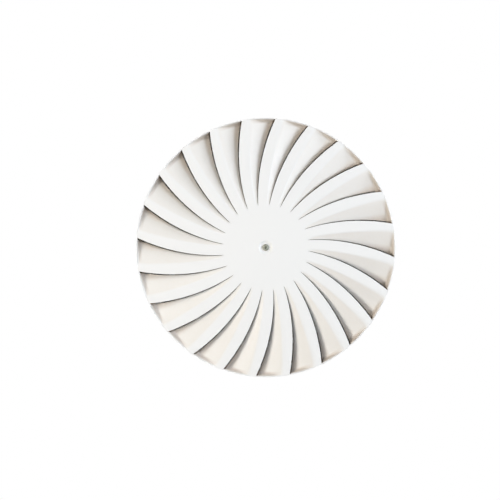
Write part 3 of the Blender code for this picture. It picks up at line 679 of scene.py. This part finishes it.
def gasket():
    outer, low, high = ring_of("face_gasket")
    inner = FLANGE_RADIUS + 0.0003
    bulged = (outer + 0.0004, (low + high) / 2)
    corners = [(outer, high), bulged, (outer, low), (inner, low), (inner, high)]
    mesh = lathe("foam_gasket", filleted(corners, 0.0004, steps=3), FINE)
    piece("foam_gasket", mesh, FOAM, "face", "face_gasket")


def washer():
    outer, low, high = ring_of("captive_washer")
    bore = 0.0034
    profile = filleted([(outer, low), (outer, high), (bore, high), (bore, low)], 0.0004)
    piece("nylon_washer", lathe("nylon_washer", profile, 64), NYLON, "face", "captive_washer")


def cross_recess(arm, half, top, bottom):
    """A tapering cross, to cut a screw head with."""
    outline = [
        (arm, half), (half, half), (half, arm), (-half, arm), (-half, half), (-arm, half),
        (-arm, -half), (-half, -half), (-half, -arm), (half, -arm), (half, -half), (arm, -half),
    ]
    body = bmesh.new()
    rings = []
    for scale, height in ((1.0, top), (0.5, bottom)):
        rings.append([body.verts.new((x * scale, y * scale, height)) for x, y in outline])
    for ring in rings:
        body.faces.new(ring)
    for i in range(len(outline)):
        j = (i + 1) % len(outline)
        body.faces.new((rings[0][i], rings[0][j], rings[1][j], rings[1][i]))
    return from_bmesh("cross_recess", body)


def less(mesh, tool, operation="DIFFERENCE"):
    """The mesh cut by another mesh."""
    cutter = placed("cutter", tool)
    cut = evaluated(mesh.name, mesh, [("BOOLEAN", {"operation": operation, "object": cutter})])
    bpy.data.objects.remove(cutter, do_unlink=True)
    return cut


def centre_screw():
    low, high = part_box("centre_screw")
    head = (high.x - low.x) / 2
    seat = low.z + 0.0024
    dome = [
        (0, low.z),
        (0.0024, low.z + 0.0001, 0.001),
        (head - 0.0008, low.z + 0.0007, 0.0012),
        (head, seat - 0.0007, 0.0004),
        (head, seat, 0.0002),
        (0, seat),
    ]
    crown = lathe("crown", filleted(dome, 0, False, 6), 64, closed=False)
    arm, half, top, bottom = 0.0030, 0.00055, low.z - 0.0005, low.z + 0.0017
    recess = cross_recess(arm, half, top, bottom)
    crown = rounded_edges(less(crown, recess), 0.00012, 50)
    shank = threaded("shank", 0.003, seat - 0.0002, high.z, 0.001, steps=32)
    piece("screw", joined("screw", crown, shank), DULL_ZINC, "screw", "centre_screw")


gasket()
washer()
centre_screw()


# ---------------------------------------------------------------- plenum

BEAD_Z = 0.072
BEAD_HEIGHT = 0.002
COLLAR_RADIUS = 0.079
COLLAR_BEAD_Z = 0.1595
SEAM_ANGLE = math.radians(150)
SEAM_WIDTH = 0.009
SEAM_SHEET = 0.0008
SEAM_EDGE = -0.0002


def beaded(radius, middle, half):
    """Corner points of a rounded bead pressed outwards in a wall."""
    return [
        (radius, middle - 1.4 * half, 0.002),
        (radius + BEAD_HEIGHT, middle - 0.35 * half, 0.0018),
        (radius + BEAD_HEIGHT, middle + 0.35 * half, 0.0018),
        (radius, middle + 1.4 * half, 0.002),
    ]


def shell():
    flange, low, high = ring_of("plenum_shell")
    wall = SHELL_RADIUS - SHEET / 2
    line = [(flange - 0.0001, low + SHEET / 2), (wall, low + SHEET / 2, 0.0014)]
    line += beaded(wall, BEAD_Z, 0.004)
    line.append((wall, high))
    mesh = lathe("shell", sheet_outline(filleted(line, 0, False, 5)), FINE)
    piece("plenum_drum", mesh, INSIDE_SHADED, "housing", "plenum_shell")


def seam():
    """The drum's lock seam: a flat raised strip that rides over the bead."""
    _, _, high = ring_of("plenum_shell")
    low, top = 0.0025, high - 0.0165
    half = SEAM_WIDTH / 2
    flat = half - 0.0006
    across = [(-half, SEAM_EDGE), (-flat, SEAM_SHEET), (0, SEAM_SHEET), (flat, SEAM_SHEET)]
    across.append((half, SEAM_EDGE))
    rows = 60
    body = bmesh.new()
    grid = []
    for i in range(rows + 1):
        height = low + (top - low) * i / rows
        bulge = BEAD_HEIGHT * max(0.0, 1 - (abs(height - BEAD_Z) / 0.0052) ** 2)
        row = []
        for side, rise in across:
            radius = SHELL_RADIUS + bulge + (rise if 0 < i < rows else SEAM_EDGE)
            angle = SEAM_ANGLE + side / SHELL_RADIUS
            row.append(body.verts.new(polar(radius, angle, height)))
        grid.append(row)
    for near, far in zip(grid, grid[1:]):
        for i in range(len(across) - 1):
            body.faces.new((near[i], near[i + 1], far[i + 1], far[i]))
    mesh = rounded_edges(from_bmesh("seam", body), 0.0002, 30)
    piece("drum_seam", mesh, GALVANISED, "housing")


def cap():
    outer, low, high = ring_of("plenum_cap")
    rim, top = outer - SHEET / 2, high - SHEET / 2
    groove = 0.158
    line = [
        (rim, low),
        (rim, top, 0.0024),
        (groove + 0.006, top, 0.003),
        (groove + 0.0018, top + 0.0014, 0.002),
        (groove - 0.0018, top + 0.0014, 0.002),
        (groove - 0.006, top, 0.003),
        (0.0785, top),
    ]
    mesh = lathe("cap", sheet_outline(filleted(line, 0, False, 5)), FINE)
    piece("plenum_lid", mesh, INSIDE_SHADED, "housing", "plenum_cap")


def collar():
    flange, low, high = ring_of("spigot_collar")
    wall = COLLAR_RADIUS - SHEET / 2
    line = [(flange, low + SHEET / 2), (wall, low + SHEET / 2, 0.0018)]
    line += beaded(wall, COLLAR_BEAD_Z, 0.003)
    line.append((wall, high))
    mesh = lathe("collar", sheet_outline(filleted(line, 0, False, 5)), FINE)
    piece("duct_collar", mesh, GALVANISED, "housing", "spigot_collar")


def lip_seal():
    outer, low, high = ring_of("spigot_lip_seal")
    inner, band = 0.0793, 0.0805
    reach = outer - band
    profile = [(inner, low, 0.0003), (inner, high, 0.0003), (band, high, 0.0004)]
    for root in (high - 0.0030, high - 0.0085):
        profile += [
            (band, root, 0.0006),
            (band + 0.6 * reach, root - 0.0010, 0.0020),
            (outer, root - 0.0030, 0.0003),
            (band + 0.5 * reach, root - 0.0022, 0.0020),
            (band, root - 0.0016, 0.0006),
        ]
    profile.append((band, low, 0.0004))
    mesh = lathe("lip_seal", filleted(profile, 0), FINE)
    piece("lip_seal", mesh, RUBBER, "housing", "spigot_lip_seal")


shell()
seam()
cap()
collar()
lip_seal()


# ---------------------------------------------------------------- hanger straps and plenum rivets

RIVET_Z = 0.1135
RIVET_SIDE = 0.0075
STRAP_RADIUS = 0.1865
CROSSBAR_RIVET_Z = 0.025
COLLAR_RIVET_CIRCLE = 0.0885


def radial(angle, radius, height, side=0.0):
    """A place on the plenum's side: local X is tangential, Y is up and Z points outwards."""
    return about_z(angle) @ Matrix.Translation((radius, side, height)) @ SEEN_FROM_X


def strap(index, angle):
    """A strap: flat on the lid's rim, stepped out above it, with a round end and a hanging hole."""
    sheet, half, low, high = 0.0015, 0.013, 0.1075, 0.152
    bend_z, step, hole = 0.1219, 0.0025, 0.0045
    middle, spare = STRAP_RADIUS - sheet / 2, 0.002
    line = [
        (middle, low - spare),
        (middle, bend_z, 0.002),
        (middle + step, bend_z + step, 0.002),
        (middle + step, high + spare),
    ]
    outline = sheet_outline(filleted(line, 0, False, 5), sheet)
    bent = flat_piece("strap", [outline], 2 * (half + spare), 0.0, about_z(angle) @ AGAINST_Y)
    top = high - half
    edge = filleted([(-half, top), (-half, low, 0.003), (half, low, 0.003), (half, top)], 0, False, 6)
    edge += arc(half, 0, 180, 24, (0, top))[1:-1]
    loops = [edge, circle(hole, 32, (0, top))]
    blank = flat_piece("blank", loops, 0.012, 0.0, radial(angle, STRAP_RADIUS, 0))
    mesh = rounded_edges(less(bent, blank, "INTERSECT"), 0.0002, 50)
    mesh.name = f"strap_{index}"
    piece(f"strap_{index}", mesh, GALVANISED, "housing", f"hanger_strap_{index}")


def plenum_fixings():
    for i, angle in enumerate((90, 210, 330), 1):
        strap(i, angle)
        for j, side in enumerate((-RIVET_SIDE, RIVET_SIDE), 1):
            rivet(f"hanger_rivet_{i}{j}", radial(angle, STRAP_RADIUS, RIVET_Z, side), grip=0.0050)
    for i, angle in enumerate((0, 180), 1):
        rivet(f"crossbar_rivet_{i}", radial(angle, SHELL_RADIUS, CROSSBAR_RIVET_Z), grip=0.0038)
    _, low, _ = ring_of("spigot_collar")
    for i, angle in enumerate((45, 135, 225, 315), 1):
        place = about_z(angle) @ Matrix.Translation((COLLAR_RIVET_CIRCLE, 0, low + SHEET))
        rivet(f"collar_rivet_{i}", place, grip=0.0023)


plenum_fixings()


# ---------------------------------------------------------------- baffle and its posts

BAFFLE_Z = 0.046
POST_ANGLES = (30, 150, 270)
POST_CIRCLE = 0.106
NUT_CORNER = 0.006
NUT_BORE = 0.0024


def baffle():
    outer, low, high = ring_of("baffle_plate")
    top = low + SHEET
    inside, groove, outside, drop = 0.040, 0.043, 0.046, 0.0007
    profile = [
        (0, low),
        (inside, low),
        (groove, low - drop, 0.003),
        (outside, low),
        (outer - 0.005, low, 0.003),
        (outer, high, 0.0004),
        (outer - 0.0013, high, 0.0004),
        (outer - 0.0056, top, 0.003),
        (outside, top),
        (groove, top - drop, 0.003),
        (inside, top),
        (0, top),
    ]
    mesh = lathe("baffle", filleted(profile, 0.002, False, 4), 120, closed=False)
    piece("baffle", mesh, INSIDE_SHADED, "housing", "baffle_plate")


def post(index, place):
    """A spacer tube on a stud, threaded where it comes out at each end."""
    _, low, high = ring_of("baffle_post_1")
    bottom, top = BAFFLE_Z + 0.0013, 0.1200
    bore, outside = 0.0025, 0.0045
    tube = [(bore, bottom), (outside, bottom, 0.0006), (outside, top, 0.0006), (bore, top)]
    tube = lathe("tube", filleted(tube, 0, steps=3), 40)
    stud = threaded("stud", bore, low, high, 0.0008)
    mesh = joined(f"spacer_post_{index}", tube, stud)
    mesh.transform(place)
    piece(f"spacer_post_{index}", mesh, ZINC, "housing", f"baffle_post_{index}")


def posts():
    for i, angle in enumerate(POST_ANGLES, 1):
        place = about_z(angle) @ Matrix.Translation((POST_CIRCLE, 0, 0))
        post(i, place)
        for side, twist in (("lower", 10), ("upper", 35)):
            node = f"{side}_post_nut_{i}"
            low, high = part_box(node)
            spot = place @ Matrix.Translation((0, 0, low.z)) @ about_z(twist * i)
            nut = hexagon_nut(node, NUT_CORNER, high.z - low.z, NUT_BORE, spot)
            piece(f"{side}_stud_nut_{i}", nut, ZINC, "housing", node)


# ---------------------------------------------------------------- crossbar

def crossbar():
    """A folded channel with its ends turned up against the drum."""
    low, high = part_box("crossbar")
    sheet, depth = 0.0015, 0.014
    half, inset = high.y - sheet / 2, sheet / 2
    channel = [
        (-half, low.z + depth),
        (-half, low.z + inset, 0.002),
        (half, low.z + inset, 0.002),
        (half, low.z + depth),
    ]
    outline = sheet_outline(filleted(channel, 0, False, 5), sheet)
    parts = [flat_piece("channel", [outline], high.x - low.x - 2 * sheet, 0.0, SEEN_FROM_X)]
    for side in (-1, 1):
        face = side * (high.x - inset)
        tab = [
            (side * (high.x - 0.016), low.z + inset + sheet),
            (face, low.z + inset + sheet, 0.0022),
            (face, high.z),
        ]
        outline = sheet_outline(filleted(tab, 0, False, 5), sheet)
        parts.append(flat_piece("tab", [outline], 2 * half - 0.0018, 0.0, AGAINST_Y))
    mesh = rounded_edges(joined("crossbar_channel", *parts), 0.00025, 50)
    piece("crossbar_channel", mesh, INSIDE_SHADED, "housing", "crossbar")


def rivet_nut():
    """The nut set in the crossbar: a flat flange below, a crimped bulge above and a ribbed body."""
    flange, low, high = ring_of("crossbar_rivet_nut")
    floor = low + 0.001
    bore, barrel, bulge = 0.0033, 0.0045, 0.0060
    profile = [
        (bore, low, 0.0004),
        (flange, low, 0.0003),
        (flange, floor, 0.0003),
        (barrel, floor),
        (barrel, floor + 0.0019),
        (bulge, floor + 0.0024, 0.0008),
        (bulge, floor + 0.0040, 0.0008),
        (barrel, floor + 0.0046, 0.0004),
        (barrel, high, 0.0004),
        (bore, high, 0.0003),
    ]

    def ribs(radius, height, angle):
        ribbed = height > floor + 0.005 and 0.004 < radius
        return radius - (0.00018 if ribbed and math.sin(24 * angle) > 0 else 0)

    mesh = lathe("rivet_nut", filleted(profile, 0, steps=3), 96, swell=ribs)
    piece("rivet_nut", mesh, ZINC, "housing", "crossbar_rivet_nut")


baffle()
posts()
crossbar()
rivet_nut()


# ---------------------------------------------------------------- damper blade and spindle

AXIS_Z = centre_of("damper_spindle").z
QUADRANT_SLOT = 0.038
SPINDLE = 0.004


def at_axis(x=0.0, y=0.0, z=0.0, turn=Matrix()):
    """A place given from the spindle's axis."""
    return Matrix.Translation((x, y, AXIS_Z + z)) @ turn


def blade():
    low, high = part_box("damper_blade")
    radius, half = (high.y - low.y) / 2, (high.x - low.x) / 2
    swage = 0.062
    front = [
        (0, half),
        (swage - 0.004, half),
        (swage - 0.0012, half + 0.0009),
        (swage + 0.0012, half + 0.0009),
        (swage + 0.004, half),
        (radius, half, 0.0005),
    ]
    back = [(r, level - 2 * half, *rest) for r, level, *rest in reversed(front)]
    profile = filleted(front + back, 0.002, False, 4)
    mesh = lathe("blade", profile, 120, at_axis((low.x + high.x) / 2, turn=ALONG_X), closed=False)
    piece("butterfly_blade", mesh, GALVANISED, "damper", "damper_blade")


def clamps():
    _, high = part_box("damper_blade")
    inside, sheet, foot, reach = SPINDLE + 0.0003, 0.0012, 0.0105, 0.0140
    middle = inside + sheet / 2
    seat = SPINDLE - sheet / 2
    start = math.degrees(math.acos(seat / middle))
    line = [(seat, -reach), (seat, -middle * math.sin(math.radians(start)) - 0.0006, 0.0012)]
    line += arc(middle, -start - 6, start - 354, 20)
    line += [(seat, middle * math.sin(math.radians(start)) + 0.0006, 0.0012), (seat, reach)]
    outline = sheet_outline(filleted(line, 0, False, 3), sheet)
    for i in (1, 2):
        node = f"blade_clamp_{i}"
        place = at_axis(y=centre_of(node).y, turn=AGAINST_Y)
        mesh = rounded_edges(flat_piece(node, [outline], 0.016, 0.0, place), 0.0002, 50)
        piece(f"saddle_{i}", mesh, GALVANISED, "damper", node)
        for j, z in enumerate((-foot, foot), 1):
            place = at_axis(high.x, centre_of(node).y, z, ALONG_X)
            rivet(f"clamp_rivet_{i}{j}", place, grip=0.0027, body="damper")


def spindle():
    low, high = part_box("damper_spindle")
    shoulder = high.y - 0.0095
    bar = [
        (0, low.y),
        (SPINDLE, low.y, 0.0006),
        (SPINDLE, low.y + 0.0035),
        (SPINDLE, shoulder, 0.0004),
        (0, shoulder),
    ]
    turned = lathe("bar", filleted(bar, 0, False, 3), 48, at_axis(turn=ALONG_Y), closed=False)
    thread = threaded("end", SPINDLE, shoulder - 0.0005, high.y, 0.00125, at_axis(turn=ALONG_Y), 32)
    piece("spindle", joined("spindle", turned, thread), ZINC, "damper", "damper_spindle")


def clip():
    """A spring clip with an open mouth and three inner teeth."""
    low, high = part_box("spindle_clip")
    outer, inner, bore = (high.x - low.x) / 2, 0.0056, SPINDLE + 0.0002
    outline = arc(outer, 28, 332, 32)
    for centre in (318, 180, 42):
        outline += arc(bore, centre + 16, centre - 16, 6)
        if centre > 42:
            outline += arc(inner, centre - 26, centre - 112, 10)
    place = at_axis(y=(low.y + high.y) / 2, turn=AGAINST_Y @ about_z(70))
    mesh = flat_piece("clip", [filleted(outline, 0.0004, steps=2)], high.y - low.y, 0.0002, place)
    piece("spring_clip", mesh, ZINC, "damper", "spindle_clip")


def bushes():
    for side, turn in (("front", ALONG_Y), ("back", AGAINST_Y)):
        node = f"spindle_bush_{side}"
        low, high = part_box(node)
        start, end = sorted((abs(low.y), abs(high.y)))
        flange, bore = (high.x - low.x) / 2, SPINDLE + 0.0003
        profile = [
            (bore, start, 0.0004),
            (0.006, start, 0.0004),
            (0.006, end - 0.0018),
            (flange, end - 0.0018, 0.0003),
            (flange, end - 0.0004, 0.0005),
            (flange - 0.0022, end, 0.0005),
            (bore, end, 0.0004),
        ]
        mesh = lathe(node, filleted(profile, 0, steps=3), 64, at_axis(turn=turn))
        piece(f"bush_{side}", mesh, NYLON, "housing", node)


blade()
clamps()
spindle()
clip()
bushes()


# ---------------------------------------------------------------- quadrant, lever and wing nut

def quadrant():
    """The upright plate with its curved slot and a tick each 15 degrees, on a foot bent forward."""
    low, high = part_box("quadrant_bracket")
    sheet = 0.0015
    bottom, side, radius = low.z - AXIS_Z, -low.x, high.z - AXIS_Z
    edge = [(-side, bottom + 0.003), (high.x, bottom + 0.003), (high.x, 0)]
    edge += arc(radius, 3, 87, 28)
    edge += [(0, radius), (-0.009, radius, 0.003), (-side, radius - 0.006, 0.003)]
    half = 0.0034
    slot = arc(QUADRANT_SLOT + half, 0, 90, 24) + arc(half, 90, 270, 10, (0, QUADRANT_SLOT))[1:-1]
    slot += arc(QUADRANT_SLOT - half, 90, 0, 24) + arc(half, 180, 360, 10, (QUADRANT_SLOT, 0))[1:-1]
    loops = [filleted(edge, 0.0003, steps=3), slot, circle(SPINDLE + 0.0006, 32)]
    plane, edging = low.y + sheet / 2, 0.00025
    upright = flat_piece("upright", loops, sheet, edging, at_axis(y=plane, turn=AGAINST_Y))
    foot_line = [
        (plane, low.z + 0.0045),
        (plane, low.z + sheet / 2, 0.0016),
        (high.y, low.z + sheet / 2),
    ]
    outline = sheet_outline(filleted(foot_line, 0, False, 5), sheet)
    width = high.x - low.x - 0.0002
    place = Matrix.Translation(((low.x + high.x) / 2, 0, 0)) @ SEEN_FROM_X
    foot = flat_piece("foot", [outline], width, edging, place)
    ticks = []
    for degrees in range(0, 91, 15):
        reach, line = (0.0015 if degrees % 45 == 0 else 0.0010), 0.00025
        bar = [(-reach, -line), (reach, -line), (reach, line), (-reach, line)]
        tick = flat_piece("tick", [bar], 0.0003, 0.0)
        turn = about_z(degrees) @ Matrix.Translation((radius - 0.0026, 0, 0))
        tick.transform(at_axis(y=low.y + sheet, turn=AGAINST_Y) @ turn)
        ticks.append(tick)
    mesh = joined("quadrant", upright, foot, *ticks)
    piece("quadrant_plate", mesh, GALVANISED, "housing", "quadrant_bracket")
    for i in (1, 2):
        node = f"quadrant_rivet_{i}"
        centre = centre_of(node)
        rivet(node, Matrix.Translation((centre.x, centre.y, low.z + sheet)), grip=0.0028)


def lever():
    low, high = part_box("damper_lever")
    sheet, half, boss = high.y - low.y, 0.0065, (high.x - low.x) / 2
    length = high.z - half - AXIS_Z
    outline = arc(boss, 150, 390, 32) + [(half, 0.010, 0.006)]
    outline += arc(half, 0, 180, 20, (0, length)) + [(-half, 0.010, 0.006)]
    loops = [
        filleted(outline, 0, steps=4),
        circle(SPINDLE + 0.0003, 32),
        circle(0.0033, 24, (0, QUADRANT_SLOT)),
        circle(0.0022, 20, (0, length)),
    ]
    mesh = flat_piece("lever", loops, sheet, 0.0004, at_axis(y=(low.y + high.y) / 2, turn=AGAINST_Y))
    piece("lever", mesh, ZINC, "damper", "damper_lever")

    low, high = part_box("lever_nut")
    place = at_axis(y=low.y, turn=ALONG_Y @ about_z(12))
    corner, bore = 0.0075, SPINDLE - 0.0004
    nut = hexagon_nut("spindle_nut", corner, high.y - low.y, bore, place)
    piece("spindle_nut", nut, ZINC, "damper", "lever_nut")


def bolt():
    """A mushroom head behind the quadrant, and a threaded shank through the slot and the lever."""
    low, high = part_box("locking_bolt")
    head, seat = (high.x - low.x) / 2, low.y + 0.0032
    dome = [
        (0, low.y),
        (0.0035, low.y + 0.0004, 0.003),
        (head, seat - 0.0008, 0.002),
        (head, seat, 0.0002),
        (0, seat),
    ]
    place = at_axis(z=QUADRANT_SLOT, turn=ALONG_Y)
    crown = lathe("crown", filleted(dome, 0, False, 5), 48, place, closed=False)
    shank = threaded("shank", 0.003, seat - 0.0003, high.y, 0.001, place, 32)
    piece("bolt", joined("bolt", crown, shank), ZINC, "damper", "locking_bolt")


def wing_nut():
    low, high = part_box("wing_nut")
    hub = 0.0055
    profile = [
        (0.0028, 0, 0.0004),
        (0.0058, 0, 0.0004),
        (0.0052, hub, 0.0012),
        (0.0028, hub, 0.0004),
    ]
    parts = [lathe("hub", filleted(profile, 0, steps=4), 48)]
    span, height = (high.x - low.x) / 2, high.y - low.y
    for side in (-1, 1):
        wing = [
            (side * 0.0040, 0.0004, 0.0004),
            (side * 0.0075, 0.0012, 0.0030),
            (side * span, height - 0.0062, 0.0025),
            (side * span, height, 0.0020),
            (side * (span - 0.0032), height, 0.0020),
            (side * 0.0046, hub - 0.0002, 0.0030),
        ]
        outline = filleted(wing, 0, steps=6)
        parts.append(flat_piece("wing", [outline], 0.0022, 0.0009, ALONG_Y.inverted()))
    mesh = joined("wing_nut", *parts)
    mesh.transform(at_axis(y=low.y, z=QUADRANT_SLOT, turn=ALONG_Y))
    piece("winged_nut", smooth(mesh, 40), ZINC, "locking_nut", "wing_nut")


quadrant()
lever()
bolt()
wing_nut()


# ---------------------------------------------------------------- camera, light and floor

CAMERA_DISTANCE = 2.1320
LIGHT_DISTANCE = 2.0
LIGHT_SIZE = 0.7
FLOOR_Z = -2.7


def aim(obj, target):
    direction = Vector(target) - obj.location
    obj.rotation_euler = direction.to_track_quat("-Z", "Y").to_euler()


def soft_light(name, azimuth, elevation, power, colour):
    """A square soft box; elevation is measured from the ceiling's plane down towards the camera."""
    data = bpy.data.lights.new(name, "AREA")
    data.size = LIGHT_SIZE
    data.energy = power
    data.color = colour
    obj = placed(name, data)
    turn, drop = math.radians(azimuth), math.radians(elevation)
    obj.location = polar(LIGHT_DISTANCE * math.cos(drop), turn, -LIGHT_DISTANCE * math.sin(drop))
    aim(obj, (0, 0, 0))


def camera():
    data = bpy.data.cameras.new("camera")
    data.lens = 100
    obj = placed("camera", data)
    # Looks straight up at the face, a little off its centre, with -Y at the top of the picture.
    obj.location = (-0.0242, 0.0038, FRONT_Z - CAMERA_DISTANCE)
    obj.rotation_euler = (math.pi, 0, 0)
    bpy.context.scene.camera = obj


def world():
    """White as the camera sees it; as light, a faint warm glow all round and a soft pale sky above."""
    made = bpy.data.worlds.new("studio")
    bpy.context.scene.world = made
    made.use_nodes = True
    nodes, links = made.node_tree.nodes, made.node_tree.links
    nodes.clear()

    def background(colour, strength=1.0):
        shader = nodes.new("ShaderNodeBackground")
        set_inputs(shader, Color=(*colour, 1), Strength=strength)
        return shader

    glow = background((1.0, 0.88, 0.76), 0.10)
    sky = background((0.97, 0.99, 1.0))
    white = background((1, 1, 1))
    way = nodes.new("ShaderNodeTexCoord")
    parts = nodes.new("ShaderNodeSeparateXYZ")
    # The sky's strength rises with the height that a ray points to.
    rise = nodes.new("ShaderNodeMapRange")
    set_inputs(rise, From_Min=0.05, From_Max=0.6, To_Min=0.0, To_Max=0.5)
    both = nodes.new("ShaderNodeAddShader")
    seen = nodes.new("ShaderNodeLightPath")
    mix = nodes.new("ShaderNodeMixShader")
    out = nodes.new("ShaderNodeOutputWorld")
    links.new(way.outputs["Generated"], parts.inputs["Vector"])
    links.new(parts.outputs["Z"], rise.inputs["Value"])
    links.new(rise.outputs["Result"], sky.inputs["Strength"])
    links.new(glow.outputs["Background"], both.inputs[0])
    links.new(sky.outputs["Background"], both.inputs[1])
    links.new(seen.outputs["Is Camera Ray"], mix.inputs["Fac"])
    links.new(both.outputs["Shader"], mix.inputs[1])
    links.new(white.outputs["Background"], mix.inputs[2])
    links.new(mix.outputs["Shader"], out.inputs["Surface"])


def floor():
    """A plain pale floor that shines evenly to the camera, and throws back only a little light."""
    body = bmesh.new()
    bmesh.ops.create_grid(body, x_segments=1, y_segments=1, size=60)
    look = Look("floor", Roughness=0.9, Base_Color=(0.05, 0.042, 0.035, 1))
    tone = look.mixed(look.noise(0.6), (0.88, 0.88, 0.875), (0.92, 0.92, 0.915))
    pale = look.node("ShaderNodeEmission", {"Color": tone})
    seen = look.node("ShaderNodeLightPath").outputs["Is Camera Ray"]
    mix = look.node("ShaderNodeMixShader", {"Fac": seen})
    look.tree.links.new(look.shader.outputs["BSDF"], mix.inputs[1])
    look.tree.links.new(pale.outputs["Emission"], mix.inputs[2])
    look.tree.links.new(mix.outputs["Shader"], look.tree.nodes["Material Output"].inputs["Surface"])
    mesh = from_bmesh("floor", body)
    mesh.materials.append(look.material)
    obj = placed("floor", mesh)
    obj.location = (0, 0, FLOOR_Z)


camera()
world()
floor()

COOL = (0.85, 0.92, 1.0)
WARM = (1.0, 0.97, 0.90)
soft_light("right", 0, 40, 20, COOL)
soft_light("right_low", 340, 15, 20, COOL)
soft_light("left", 180, 40, 20, WARM)
soft_light("left_far", 230, 40, 9, WARM)
soft_light("left_near", 130, 40, 9, WARM)
soft_light("above", 120, -50, 22, WARM)
soft_light("above_right", 320, -40, 18, WARM)

bpy.context.scene.view_settings.view_transform = "Standard"
